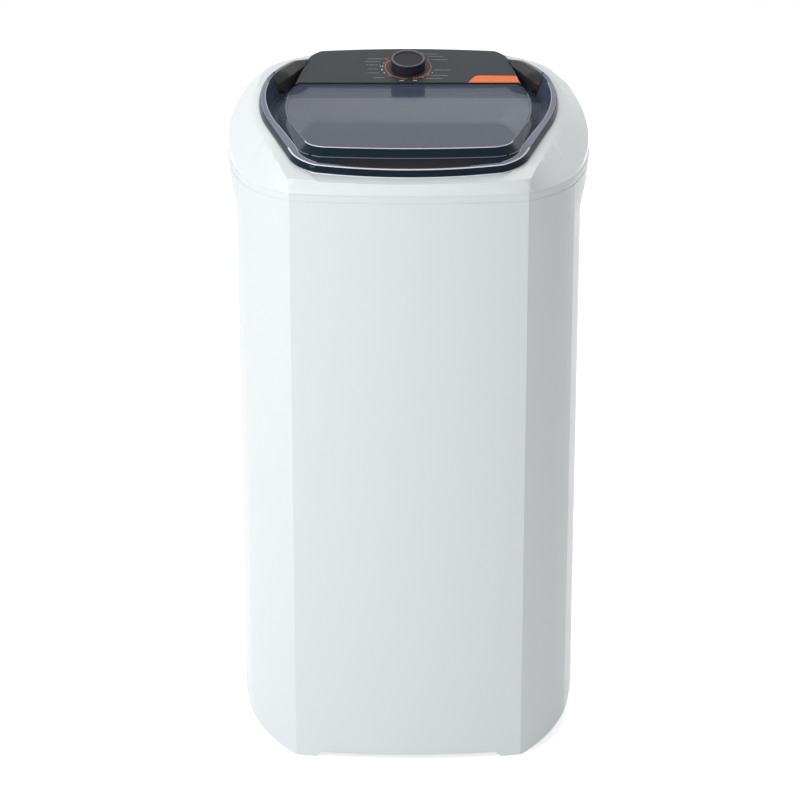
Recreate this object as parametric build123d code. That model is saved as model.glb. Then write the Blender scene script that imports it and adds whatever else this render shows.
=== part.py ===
from build123d import *
import math
import os

# Semi-automatic top-loading washing machine.
# Millimetres, +Z up, front towards -Y, origin on the floor under the middle of the machine.

# Cabinet plan
SEAM_Z = 860.0
CABINET_WALL = 3.5
FRONT_HALF = 166.3
FRONT_Y = -263.0
FRONT_CROWN = 16.0
SIDE_X = 235.5
SIDE_FRONT_Y = -168.3
SIDE_REAR_Y = 212.3
SIDE_CROWN = 19.0
GRIP_CROWN = 31.0
GRIP_START_Z = 790.0
GRIP_KNEE_Z = 822.0
GRIP_KNEE_SHARE = 0.7
EDGE_HEIGHT = 2.0
EDGE_WIDTH = 1.5
TRIM_LINE_DROP = 10.7
TRIM_LINE_WIDTH = 1.4
TRIM_LINE_DEPTH = 0.7
CHAMFER_CROWN = 8.0
REAR_HALF = 171.0
REAR_Y = 279.0

# Cabinet lower edge: feet at the corners, lifted skirts between them
FOOT_CLEAR = 1.0
SKIRT_LIFT = 8.0
SIDE_LIFT = 27.0
FOOT_INNER_X = 138.0
FOOT_SLOPE = 8.0

# Ledges inside the cabinet that carry the tub and hold the base
TUB_LEDGE_Z = 843.0
TUB_LEDGE_CROWN = 29.0
TUB_LEDGE_WIDTH = 16.0
BASE_LEDGE_Z = 34.0
BASE_LEDGE_WIDTH = 16.0
LEDGE_THICK = 4.0

# Service bay sunk into the rear wall
BAY_HALF = 150.0
BAY_LOW_Z = 60.0
BAY_HIGH_Z = 350.0
BAY_DEPTH = 20.0
COVER_HALF = 105.0
COVER_LOW_Z = 140.0
COVER_HIGH_Z = 325.0
COVER_LAP = 12.0
COVER_THICK = 2.0

# Sloping planes of the top: height over the origin, and rise per millimetre towards the back
RIM_Z = 913.1
RIM_SLOPE = 0.126
GUTTER_Z = 904.8
GUTTER_SLOPE = 0.0167
PLATEAU_Z = 917.4
PLATEAU_SLOPE = 0.0232
SHELF_Z = 889.4
SHELF_SLOPE = 0.066
MOUTH_Z = 869.0
DECK_WALL = 3.0
ROOF_DROP = 4.2
TONGUE_DEPTH = 10.0
TONGUE_THICK = 2.5
TONGUE_CROWN = 29.5
SLIP = 0.2
SCOOP_DEPTH = 1.6
SCOOP_HALF = 152.0
SCOOP_BASE_HALF = 120.0
SCOOP_BACK_Y = -215.0

# Lid and console skin
LID_GAP = 0.4
LID_WALL = 3.0
RIDGE_HEIGHT = 9.5
RIDGE_SHOULDER = 5.0
RIDGE_WIDTH = 9.0
POCKET_HEIGHT = 50.0
POCKET_LEAST_RISE = 14.0
COLLAR_INSET = 5.5
SPLIT_GAP = 0.6
SPLIT_Y = 155.0
WING_FRONT_Y = 129.0
WING_INNER_X = 186.5
REAR_CAP_Y = 200.0
REAR_CAP_Z = 948.1
REAR_CAP_SLOPE = -0.125

# Hinge knuckles hidden in the ridge, where the lid meets the console wings
HINGE_Y = 141.0
HINGE_Z = 935.5
HINGE_X = 204.5
KNUCKLE_WIDTH = 3.6
KNUCKLE_R = 4.2
KNUCKLE_ROOT = 9.0
KNUCKLE_GAP = 0.5
KNUCKLE_SWING = 6.5
HINGE_PIN_R = 1.6
HINGE_PIN_HALF = 4.6
HINGE_BOSS_R = 4.5

# Control panel, knob and timer
PANEL_TILT = 18.0
PANEL_FRONT_Z = 921.0
PANEL_THICK = 1.2
PANEL_MARGIN = 2.0
DIAL_Y = 202.0
KNOB_R = 26.5
KNOB_HEIGHT = 15.0
KNOB_LIFT = 0.6
KNOB_DISH = 1.8
KNOB_RIM = 3.5
TIMER_SHAFT_R = 3.0
TIMER_SHAFT_HOLE_R = 4.0
TIMER_R = 24.0
TIMER_DEPTH = 18.0
TIMER_PLATE = 2.0
TIMER_PLATE_HALF = 30.0

# Wash tub
TUB_HALF = 212.0
TUB_FRONT_Y = -232.0
TUB_REAR_Y = 222.0
TUB_CORNER = 88.0
TUB_TOP_Z = 863.0
TUB_FLOOR_Z = 345.0
TUB_WALL = 3.0
TUB_TAPER = 2.2
TUB_FLOOR_ROUND = 45.0
TUB_FLANGE = 4.0
RIB_R = 7.0
RIB_LOW_Z = 430.0
RIB_HIGH_Z = 800.0
RING_THICK = 3.0
RING_LIP = 6.0

# Lint filter on the rear wall of the tub
FILTER_HALF = 45.0
FILTER_LOW_Z = 560.0
FILTER_HIGH_Z = 680.0
FILTER_THICK = 12.0
FILTER_BAR = 3.0
FILTER_Y = 190.0
FILTER_GAP = 0.5
RAIL_THICK = 3.0
RAIL_LIP = 6.0

# Drive line
DRIVE_Y = -5.0
SHAFT_R = 6.0
HUB_R = 24.0
HUB_FLANGE_R = 62.0
HUB_FLANGE = 6.0
HUB_LOW_Z = 288.0
HUB_WEB = 4.0
BUSH_R = 10.0
BUSH_LENGTH = 14.0
RUN_GAP = 0.05
SEAL_R = 14.0
SEAL_HEIGHT = 9.0
IMPELLER_R = 150.0
IMPELLER_LIFT = 5.0
IMPELLER_DISH = 5.0
VANE_COUNT = 6
VANE_HEIGHT = 22.0
PULLEY_R = 120.0
PULLEY_Z = 258.0
PULLEY_WIDTH = 14.0
PULLEY_WEB = 4.0
PULLEY_SPOKES = 6
GROOVE_DEPTH = 7.0
GROOVE_MOUTH = 9.6
GROOVE_FLOOR = 6.0
BELT_WIDTH = 5.4
BELT_DEPTH = 5.5
BELT_GAP = 0.3
MOTOR_Y = 165.0
MOTOR_PULLEY_R = 30.0
MOTOR_R = 56.0
MOTOR_HEIGHT = 112.0
MOTOR_FINS = 12
MOUNT_X = 62.0
MOUNT_PITCH_Y = 100.0
MOUNT_R = 11.0
MOUNT_HEIGHT = 22.0
BOSS_HEIGHT = 44.0
BRACKET_THICK = 3.0

# Capacitor
CAPACITOR_R = 20.0
CAPACITOR_HEIGHT = 80.0
CAPACITOR_X = -135.0
CAPACITOR_Y = 60.0
CLIP_THICK = 2.0

# Base tray and foot pads
BASE_THICK = 4.0
BASE_RIB = 14.0
FOOT_POST_R = 20.0
FOOT_X = 146.0
FOOT_FRONT_Y = -212.0
FOOT_REAR_Y = 226.0
PAD_R = 17.0
PAD_HEIGHT = 7.0

# Drain
SPIGOT_R = 11.0
SPIGOT_BORE = 8.5
OUTLET_R = 12.5
OUTLET_LENGTH = 15.0
OUTLET_COLLAR_R = 15.0
OUTLET_COLLAR = 3.0
HOSE_WALL = 3.0
HOSE_GAP = 0.1
HOSE_LAP = 18.0
DRAIN_X = 100.0
SUMP_Y = 105.0
DRAIN_Z = 100.0
DRAIN_BEND = 80.0
HOSE_CLIP = 8.0

# Cord gland
GLAND_X = -100.0
GLAND_R = 9.0
GLAND_BORE = 4.0

# Fasteners
SCREW_R = 2.0
SCREW_HEAD_R = 4.0
SCREW_HEAD = 2.4
SCREW_LENGTH = 12.0
BOLT_R = 3.0
BOLT_HEAD_R = 5.5
BOLT_HEAD = 4.0

# Values worked out from the sizes above
PANEL_SLOPE = math.tan(math.radians(PANEL_TILT))
PANEL_Z = PANEL_FRONT_Z - SPLIT_Y * PANEL_SLOPE
TUB_BOTTOM_Z = TUB_FLOOR_Z - TUB_WALL
BASE_TOP_Z = BASE_LEDGE_Z
MOUNT_LOW_Z = BASE_TOP_Z + BOSS_HEIGHT
BRACKET_Z = MOUNT_LOW_Z + MOUNT_HEIGHT
MOTOR_LOW_Z = BRACKET_Z + BRACKET_THICK
BAY_WALL_Y = REAR_Y - BAY_DEPTH
TUB_LEAN = math.tan(math.radians(TUB_TAPER))

# Half outlines in plan, from the middle of the front to the middle of the back:
# front middle, front end, corner middle, corner end, side start, side middle, side end,
# rear middle, rear end, back corner middle, back corner end, back middle.
LIP_OUTLINE = [
    (0, -255.7), (131, -237), (154.5, -215.5), (169, -186), (204, -66), (221.5, 42),
    (212, 135), (193, 179), (168, 215), (153, 237), (130, 251), (0, 265),
]
FOOT_OUTLINE = [
    (0, -228), (123, -219), (143.5, -203.5), (155.5, -181), (184, -68), (197.5, 50),
    (192, 135), (174, 172), (150, 202), (138, 220), (121, 231), (0, 243),
]
PLATEAU_OUTLINE = [
    (0, -216), (120, -207), (136.5, -196), (145, -180), (172, -68), (181.2, 42),
    (174, 135), (158, 166), (136, 194), (126, 209), (112, 218), (0, 230),
]
MOUTH_OUTLINE = [
    (0, -215), (118, -208), (142, -196), (156, -170), (172, -80), (172, 0),
    (160, 55), (156, 85), (150, 112), (146, 128), (136, 137), (0, 139),
]
# Upper edge of the throat that slopes down to the mouth, on the plane of the shelf.
SEAT_OUTLINE = [
    (0, -248), (129, -230), (148.5, -211), (162, -183.5), (196.5, -64.5), (213.5, 42),
    (207, 116), (196, 124), (185, 128), (174, 148), (160, 153), (0, 155),
]

# Half outlines of the rim's outer crease and of the foot of the sloping roof below it:
# front middle, front end, chamfer middle, chamfer end, side middle, side end,
# rear middle, rear end, back corner middle, back corner end, back middle.
RIM_OUTLINE = [
    (0, -277.5), (168.5, -259), (187.5, -181), (206, -98), (228.8, 37), (224, 152),
    (210, 203), (187, 228), (160, 248), (130, 260), (0, 270),
]
ROOF_OUTLINE = [
    (0, -279), (166.3, -263), (207.4, -220.4), (235.5, -168.3), (300, 37), (308, 172),
    (296, 245), (266, 297), (222, 342), (163, 365), (0, 383),
]


def mirrored(point):
    return (-point[0], point[1])


def both_sides(x, y):
    return [(x, y), (-x, y)]


def inset_points(points, amount):
    # Moves each point of a half outline inwards, square to the line between its neighbours.
    moved = []
    for index, (x, y) in enumerate(points):
        before = points[index - 1] if index else mirrored(points[1])
        after = points[index + 1] if index + 1 < len(points) else mirrored(points[-2])
        dx = after[0] - before[0]
        dy = after[1] - before[1]
        length = math.hypot(dx, dy)
        moved.append((x - amount * dy / length, y + amount * dx / length))
    return moved


def plane_height(z, slope, y):
    return z + slope * y


def outline_face(points, z, slope=0.0, corner_line=True):
    # Closed face on a plane that rises towards the back, whose plan is the mirrored half outline.
    tilt = math.hypot(1, slope)
    plane = Plane(origin=(0, 0, z), x_dir=(1, 0, 0), z_dir=(0, -slope / tilt, 1 / tilt))
    flat = [(x, y * tilt) for x, y in points]
    right = [ThreePointArc(flat[1], flat[2], flat[3])]
    index = 3
    if corner_line:
        right.append(Line(flat[3], flat[4]))
        index = 4
    while index < len(flat) - 2:
        right.append(ThreePointArc(flat[index], flat[index + 1], flat[index + 2]))
        index += 2
    front = ThreePointArc(mirrored(flat[1]), flat[0], flat[1])
    back = ThreePointArc(flat[-2], flat[-1], mirrored(flat[-2]))
    left = [mirror(edge, about=Plane.YZ) for edge in reversed(right)]
    edges = [piece.edge() for piece in [front] + right + [back] + left]
    return plane * Face(Wire(edges))


def lip_face(points, z, slope=0.0):
    return outline_face(points, z, slope, corner_line=True)


def rim_face(points, z, slope=0.0):
    return outline_face(points, z, slope, corner_line=False)


def bulged(start, end, crown):
    # Edge that bows outwards by crown, walking anticlockwise round the plan.
    if crown == 0:
        return Line(start, end)
    dx = end[0] - start[0]
    dy = end[1] - start[1]
    length = math.hypot(dx, dy)
    middle_x = (start[0] + end[0]) / 2 + crown * dy / length
    middle_y = (start[1] + end[1]) / 2 - crown * dx / length
    return ThreePointArc(start, (middle_x, middle_y), end)


def cabinet_face(side_crown, inset=0.0):
    # Eight-sided plan of the cabinet.
    right = [(FRONT_HALF, FRONT_Y), (SIDE_X, SIDE_FRONT_Y), (SIDE_X, SIDE_REAR_Y), (REAR_HALF, REAR_Y)]
    corners = [mirrored(right[0])] + right + [mirrored(point) for point in reversed(right[1:])]
    crowns = [FRONT_CROWN, CHAMFER_CROWN, side_crown, CHAMFER_CROWN, 0,
              CHAMFER_CROWN, side_crown, CHAMFER_CROWN]
    edges = []
    for index, crown in enumerate(crowns):
        edges.append(bulged(corners[index], corners[(index + 1) % len(corners)], crown).edge())
    wire = Wire(edges)
    if inset:
        wire = wire.offset_2d(-inset, kind=Kind.INTERSECTION)
    return Face(wire)


def prism(face, low, high):
    return extrude(Pos(0, 0, low) * face, high - low)


def block(x0, x1, y0, y1, z0, z1):
    return Pos((x0 + x1) / 2, (y0 + y1) / 2, (z0 + z1) / 2) * Box(x1 - x0, y1 - y0, z1 - z0)


def rod(x, y, low, high, radius):
    return Pos(x, y, (low + high) / 2) * Cylinder(radius, high - low)


def rod_x(x0, x1, y, z, radius):
    return Pos((x0 + x1) / 2, y, z) * Rot(0, 90, 0) * Cylinder(radius, abs(x1 - x0))


def rod_y(x, y0, y1, z, radius):
    return Pos(x, (y0 + y1) / 2, z) * Rot(90, 0, 0) * Cylinder(radius, abs(y1 - y0))


def tube(x, y, low, high, outer, inner):
    return rod(x, y, low, high, outer) - rod(x, y, low, high, inner)


def turned(profile_points):
    # Solid of revolution about Z from (radius, height) points.
    face = Face(Polyline(*profile_points, close=True).wire())
    return revolve(Plane.XZ * face, Axis.Z)


def screw_down(x, y, head_z, length=SCREW_LENGTH):
    # Pan-head screw with its head sitting at head_z and its shank below.
    head = turned([(0, 0), (SCREW_HEAD_R, 0), (SCREW_HEAD_R * 0.8, SCREW_HEAD), (0, SCREW_HEAD)])
    return Pos(x, y, head_z) * (head + rod(0, 0, -length, 0, SCREW_R))


def screw_up(x, y, head_z, length=SCREW_LENGTH):
    return Pos(x, y, head_z) * Rot(180, 0, 0) * screw_down(0, 0, 0, length)


def screw_back(x, z, head_y, length=SCREW_LENGTH):
    # Screw driven forwards into the machine, with its head facing the back.
    return Pos(x, head_y, z) * Rot(-90, 0, 0) * screw_down(0, 0, 0, length)


def knee_crown():
    return SIDE_CROWN + GRIP_KNEE_SHARE * (GRIP_CROWN - SIDE_CROWN)


def cabinet_form(inset, low, high, bevel=0.0):
    # Straight body whose side walls swell into lifting grips, with a bevel round its upper edge.
    plain = cabinet_face(SIDE_CROWN, inset)
    knee = Pos(0, 0, GRIP_KNEE_Z) * cabinet_face(knee_crown(), inset)
    edge_z = high - EDGE_HEIGHT if bevel else high
    edge = Pos(0, 0, edge_z) * cabinet_face(GRIP_CROWN, inset)
    body = prism(plain, low, GRIP_START_Z)
    body += loft([Pos(0, 0, GRIP_START_Z) * plain, knee], ruled=True)
    body += loft([knee, edge], ruled=True)
    if bevel:
        body += loft([edge, Pos(0, 0, high) * cabinet_face(GRIP_CROWN, inset + bevel)], ruled=True)
    return body


def trim_line():
    # Fine groove round the cabinet just below the seam.
    middle = SEAM_Z - TRIM_LINE_DROP
    share = (middle - GRIP_KNEE_Z) / (SEAM_Z - EDGE_HEIGHT - GRIP_KNEE_Z)
    crown = knee_crown() + share * (GRIP_CROWN - knee_crown())
    ring = cabinet_face(crown, -TRIM_LINE_WIDTH) - cabinet_face(crown, TRIM_LINE_DEPTH)
    return prism(ring, middle - TRIM_LINE_WIDTH / 2, middle + TRIM_LINE_WIDTH / 2)


def foot_cutter():
    # Takes away the lower edge between the feet, in front, behind and along the sides.
    low = -SKIRT_LIFT
    window = Polyline((-FOOT_INNER_X + FOOT_SLOPE, SKIRT_LIFT), (FOOT_INNER_X - FOOT_SLOPE, SKIRT_LIFT),
                      (FOOT_INNER_X + FOOT_SLOPE, low), (-FOOT_INNER_X - FOOT_SLOPE, low), close=True)
    front_back = extrude(Plane.XZ * Face(window.wire()), REAR_Y * 2, both=True)
    side = Polyline((FRONT_Y, low), (FRONT_Y, FOOT_CLEAR), (SIDE_FRONT_Y, SIDE_LIFT), (SIDE_REAR_Y, SIDE_LIFT),
                    (REAR_Y - CABINET_WALL, FOOT_CLEAR), (REAR_Y - CABINET_WALL, low), close=True)
    sides = extrude(Plane.YZ * Face(side.wire()), SIDE_X * 2, both=True)
    return front_back + sides + block(-SIDE_X * 2, SIDE_X * 2, -REAR_Y * 2, REAR_Y * 2, low, FOOT_CLEAR)


def inner_ledge(crown, top_z, width):
    ring = cabinet_face(crown, CABINET_WALL - 1) - cabinet_face(crown, CABINET_WALL + width)
    return prism(ring, top_z - LEDGE_THICK, top_z)


def tub_screw_places():
    side_x = SIDE_X + TUB_LEDGE_CROWN - CABINET_WALL - TUB_LEDGE_WIDTH / 2
    middle_y = (SIDE_FRONT_Y + SIDE_REAR_Y) / 2
    back_y = REAR_Y - CABINET_WALL - TUB_LEDGE_WIDTH / 2
    front_y = FRONT_Y - FRONT_CROWN + CABINET_WALL + TUB_LEDGE_WIDTH / 2 + 2
    return both_sides(side_x - 2, middle_y) + both_sides(70, back_y) + both_sides(70, front_y)


def base_screw_places():
    side_x = SIDE_X + SIDE_CROWN - CABINET_WALL - BASE_LEDGE_WIDTH / 2
    middle_y = (SIDE_FRONT_Y + SIDE_REAR_Y) / 2
    front_y = FRONT_Y - FRONT_CROWN + CABINET_WALL + BASE_LEDGE_WIDTH / 2 + 2
    back_y = REAR_Y - CABINET_WALL - BASE_LEDGE_WIDTH / 2
    return both_sides(side_x - 1, middle_y) + both_sides(80, front_y) + both_sides(80, back_y)


def deck_screw_places():
    return [(x, SEAM_Z - TONGUE_DEPTH / 2) for x in (-120, 0, 120)]


def cover_screw_places():
    x = COVER_HALF + COVER_LAP / 2
    return [(sx * x, z) for sx in (-1, 1) for z in (COVER_LOW_Z + 15, COVER_HIGH_Z - 15)]


def make_cabinet():
    shell = cabinet_form(0, 0, SEAM_Z, EDGE_WIDTH) - cabinet_form(CABINET_WALL, -1, SEAM_Z + 1)
    shell -= trim_line()
    shell += inner_ledge(TUB_LEDGE_CROWN, TUB_LEDGE_Z, TUB_LEDGE_WIDTH)
    shell += inner_ledge(SIDE_CROWN, BASE_LEDGE_Z + LEDGE_THICK, BASE_LEDGE_WIDTH)
    bay_block = block(-BAY_HALF - CABINET_WALL, BAY_HALF + CABINET_WALL, BAY_WALL_Y - CABINET_WALL, REAR_Y - 1,
                      BAY_LOW_Z - CABINET_WALL, BAY_HIGH_Z + CABINET_WALL)
    bay_room = block(-BAY_HALF, BAY_HALF, BAY_WALL_Y, REAR_Y + 1, BAY_LOW_Z, BAY_HIGH_Z)
    shell = shell + bay_block - bay_room
    shell -= block(-COVER_HALF, COVER_HALF, BAY_WALL_Y - 10, REAR_Y, COVER_LOW_Z, COVER_HIGH_Z)
    shell -= rod_y(DRAIN_X, BAY_WALL_Y - 10, BAY_WALL_Y + 1, DRAIN_Z, OUTLET_COLLAR_R + SLIP)
    shell -= rod_y(GLAND_X, BAY_WALL_Y - 10, BAY_WALL_Y + 1, DRAIN_Z, GLAND_R + SLIP)
    for x, z in cover_screw_places():
        shell -= rod_y(x, BAY_WALL_Y - 10, BAY_WALL_Y + 1, z, SCREW_R)
    for x, z in deck_screw_places():
        shell -= rod_y(x, REAR_Y - 10, REAR_Y + 1, z, SCREW_R)
        shell -= countersink(x, z)
    for x, y in tub_screw_places():
        shell -= rod(x, y, TUB_LEDGE_Z - LEDGE_THICK - 1, TUB_LEDGE_Z + 1, SCREW_R)
    for x, y in base_screw_places():
        shell -= rod(x, y, BASE_LEDGE_Z - 1, BASE_LEDGE_Z + LEDGE_THICK + 1, SCREW_R)
    return shell - foot_cutter()


def countersink(x, z):
    cone = turned([(0, -SCREW_HEAD), (SCREW_R, -SCREW_HEAD), (SCREW_HEAD_R, 0), (0, 0)])
    return Pos(x, REAR_Y, z) * Rot(-90, 0, 0) * cone


def make_deck_screws():
    return [countersink(x, z) + rod_y(x, REAR_Y - SCREW_LENGTH, REAR_Y - SCREW_HEAD / 2, z, SCREW_R)
            for x, z in deck_screw_places()]


def roof(drop=0.0):
    # Sloping shoulders from beyond the cabinet wall up to the crease of the rim.
    low = rim_face(ROOF_OUTLINE, SEAM_Z - drop)
    high = rim_face(RIM_OUTLINE, RIM_Z - drop, RIM_SLOPE)
    return loft([low, high], ruled=True)


def funnel(inset, drop, top_z):
    # Space inside the collar, down to the shelf, and the throat that narrows from there to the mouth.
    collar_points = inset_points(LIP_OUTLINE, inset)
    collar = loft([lip_face(collar_points, SHELF_Z - drop, SHELF_SLOPE),
                   lip_face(collar_points, top_z, RIM_SLOPE)], ruled=True)
    mouth = lip_face(inset_points(MOUTH_OUTLINE, inset - COLLAR_INSET), MOUTH_Z - drop)
    seat = lip_face(inset_points(SEAT_OUTLINE, inset - COLLAR_INSET), SHELF_Z - drop / 2, SHELF_SLOPE)
    throat = loft([mouth, seat], ruled=True)
    return throat + collar


def console_screw_places():
    return both_sides(118, 190) + both_sides(60, 236)


def sloped_slab(z, slope, above):
    # Everything above, or below, a plane that rises towards the back.
    tilt = math.hypot(1, slope)
    plane = Plane(origin=(0, 0, z), x_dir=(1, 0, 0), z_dir=(0, -slope / tilt, 1 / tilt))
    return plane * Pos(0, 0, 100 if above else -100) * Box(800, 800, 200)


def finger_scoop():
    # Shallow recess in front of the lid's lip, where fingers lift it.
    near_y = FRONT_Y - FRONT_CROWN
    plan = Polyline((-SCOOP_HALF, SCOOP_BACK_Y), (-SCOOP_BASE_HALF, near_y), (SCOOP_BASE_HALF, near_y),
                    (SCOOP_HALF, SCOOP_BACK_Y), close=True)
    front = prism(Face(plan.wire()), SEAM_Z, RIM_Z)
    behind = prism(lip_face(LIP_OUTLINE, 0), SEAM_Z - 1, RIM_Z + 1)
    return (front - behind) & sloped_slab(RIM_Z - SCOOP_DEPTH, RIM_SLOPE, above=True)


def make_deck():
    top_z = plane_height(RIM_Z, RIM_SLOPE, REAR_Y) + 20
    outer = roof() & prism(cabinet_face(GRIP_CROWN, EDGE_WIDTH), SEAM_Z, top_z)
    hollow = prism(cabinet_face(GRIP_CROWN, EDGE_WIDTH + DECK_WALL), SEAM_Z - ROOF_DROP, top_z)
    shell = outer - (roof(ROOF_DROP) & hollow) - finger_scoop()
    lining = funnel(COLLAR_INSET - DECK_WALL, DECK_WALL, RIM_Z - 1)
    mouth_hole = prism(lip_face(MOUTH_OUTLINE, 0), MOUTH_Z - 20, MOUTH_Z)
    deck = shell + lining - funnel(COLLAR_INSET, 0, RIM_Z + 20) - mouth_hole
    tongue = prism(cabinet_face(TONGUE_CROWN, CABINET_WALL + SLIP)
                   - cabinet_face(TONGUE_CROWN, CABINET_WALL + SLIP + TONGUE_THICK),
                   SEAM_Z - TONGUE_DEPTH, SEAM_Z)
    root = prism(cabinet_face(TONGUE_CROWN, CABINET_WALL - 1)
                 - cabinet_face(TONGUE_CROWN, CABINET_WALL + SLIP + TONGUE_THICK), SEAM_Z, SEAM_Z + 4) & outer
    deck = deck + tongue + root
    for x, z in deck_screw_places():
        deck -= rod_y(x, REAR_Y - SCREW_LENGTH - 2, REAR_Y, z, SCREW_R)
    for x, y in console_screw_places():
        deck -= rod(x, y, SEAM_Z, plane_height(SHELF_Z, SHELF_SLOPE, y) + 5, SCREW_R)
    return deck


def pocket_top(foot, ridge, gutter_z, ridge_z):
    # Outline above the gutter, placed so that the wall between them meets the ridge's inner edge.
    points = []
    for (foot_x, foot_y), (x, y) in zip(foot, ridge):
        rise = plane_height(ridge_z, RIM_SLOPE, y) - plane_height(gutter_z, GUTTER_SLOPE, y)
        reach = POCKET_HEIGHT / max(rise, POCKET_LEAST_RISE)
        points.append((foot_x + reach * (x - foot_x), foot_y + reach * (y - foot_y)))
    return points


def crown_form(inset, low_z):
    # Solid under the skin shared by the lid and the console wings: a raised ridge along the lip,
    # a gutter inside it that sinks towards the back, and a level plateau inside the gutter.
    lip = inset_points(LIP_OUTLINE, inset)
    ridge = inset_points(LIP_OUTLINE, RIDGE_WIDTH)
    ridge_z = RIM_Z + LID_GAP + RIDGE_HEIGHT - inset
    gutter_z = GUTTER_Z - inset
    body = loft([
        lip_face(lip, low_z),
        lip_face(lip, ridge_z - RIDGE_SHOULDER, RIM_SLOPE),
        lip_face(inset_points(lip, RIDGE_SHOULDER * 0.3), ridge_z - RIDGE_SHOULDER * 0.3, RIM_SLOPE),
        lip_face(inset_points(lip, RIDGE_SHOULDER * 0.8), ridge_z, RIM_SLOPE),
    ], ruled=True)
    pocket_foot = inset_points(FOOT_OUTLINE, -inset)
    pocket_ridge = inset_points(ridge, -inset)
    pocket = loft([
        lip_face(pocket_foot, gutter_z, GUTTER_SLOPE),
        lip_face(pocket_top(pocket_foot, pocket_ridge, gutter_z, ridge_z), gutter_z + POCKET_HEIGHT, GUTTER_SLOPE),
    ], ruled=True)
    foot = inset_points(FOOT_OUTLINE, inset)
    hill_drop = gutter_z - ridge_z + (RIM_SLOPE - GUTTER_SLOPE) * -ridge[0][1]
    hill = loft([
        lip_face(inset_points(ridge, inset), gutter_z - hill_drop, GUTTER_SLOPE),
        lip_face(foot, gutter_z, GUTTER_SLOPE),
        lip_face(inset_points(PLATEAU_OUTLINE, inset), PLATEAU_Z - inset, PLATEAU_SLOPE),
    ], ruled=True)
    return body - pocket + hill


def skirt_trim():
    # Ring under the lip, outside the collar, which the skin leaves free.
    outer = lip_face(inset_points(LIP_OUTLINE, -5), 0)
    inner = lip_face(inset_points(LIP_OUTLINE, COLLAR_INSET + 1), 0)
    top_z = plane_height(RIM_Z, RIM_SLOPE, REAR_Y)
    ring = prism(outer, SEAM_Z - 30, top_z) - prism(inner, SEAM_Z - 30, top_z)
    return ring & sloped_slab(RIM_Z + LID_GAP, RIM_SLOPE, above=False)


def lid_zone(grow):
    # The lid ends in front of the console; beside the wings it stays inside their inner walls.
    main = block(-400, 400, -400, WING_FRONT_Y + grow, 0, 1200)
    tail = block(-WING_INNER_X - grow, WING_INNER_X + grow, 0, SPLIT_Y + grow, 0, 1200)
    return main + tail


def main_solid(shape):
    # Keeps the body of a moulding and lets go of slivers cut free inside it.
    return shape.solids().sort_by(SortBy.VOLUME)[-1]


def knuckle_slab(side, width, y0, y1, z0):
    # Upright slab in the ridge, square to the hinge axis.
    x0, x1 = sorted((side * (HINGE_X - width / 2), side * (HINGE_X + width / 2)))
    return block(x0, x1, y0, y1, z0, HINGE_Z + 30)


def knuckle(side):
    # Fin that reaches back from the lid and ends in a disc round the hinge pin.
    half = KNUCKLE_WIDTH / 2
    disc = rod_x(side * HINGE_X - half, side * HINGE_X + half, HINGE_Y, HINGE_Z, KNUCKLE_R)
    return disc + knuckle_slab(side, KNUCKLE_WIDTH, WING_FRONT_Y - KNUCKLE_ROOT, HINGE_Y, HINGE_Z - KNUCKLE_R)


def knuckle_slot(side):
    # Room in the console wing for the knuckle to swing up and back.
    width = KNUCKLE_WIDTH + 2 * KNUCKLE_GAP
    slot = rod_x(side * HINGE_X - width / 2, side * HINGE_X + width / 2, HINGE_Y, HINGE_Z, KNUCKLE_SWING)
    slot += knuckle_slab(side, width, WING_FRONT_Y - 1, HINGE_Y + KNUCKLE_SWING, HINGE_Z)
    return slot + knuckle_slab(side, width, WING_FRONT_Y - 1, HINGE_Y, HINGE_Z - KNUCKLE_R - KNUCKLE_GAP)


def swing_relief():
    # Upper front edge of the wings, rounded so that the lid's rear edge passes as it lifts.
    radius = HINGE_Y - WING_FRONT_Y - SPLIT_GAP
    return block(-400, 400, WING_FRONT_Y - 1, HINGE_Y, HINGE_Z, 1000) - rod_x(-400, 400, HINGE_Y, HINGE_Z, radius)


def make_lid():
    low_z = SEAM_Z - 10
    outer = crown_form(0, low_z)
    skin = (outer - crown_form(LID_WALL, low_z - 1)) & lid_zone(0)
    skin -= skirt_trim()
    tail_low = plane_height(GUTTER_Z, GUTTER_SLOPE, SPLIT_Y) - LID_WALL
    tail = outer & block(-WING_INNER_X, WING_INNER_X, SPLIT_Y - LID_WALL, SPLIT_Y, tail_low, 1000)
    lid = skin + tail
    for side in (-1, 1):
        lid += knuckle(side) & outer
        lid -= hinge_rod(side, KNUCKLE_WIDTH, HINGE_PIN_R)
    return lid


def hinge_rod(side, half_length, radius):
    x = side * HINGE_X
    return rod_x(x - half_length, x + half_length, HINGE_Y, HINGE_Z, radius)


def make_hinge_pins():
    return [hinge_rod(side, HINGE_PIN_HALF, HINGE_PIN_R) for side in (-1, 1)]


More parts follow.
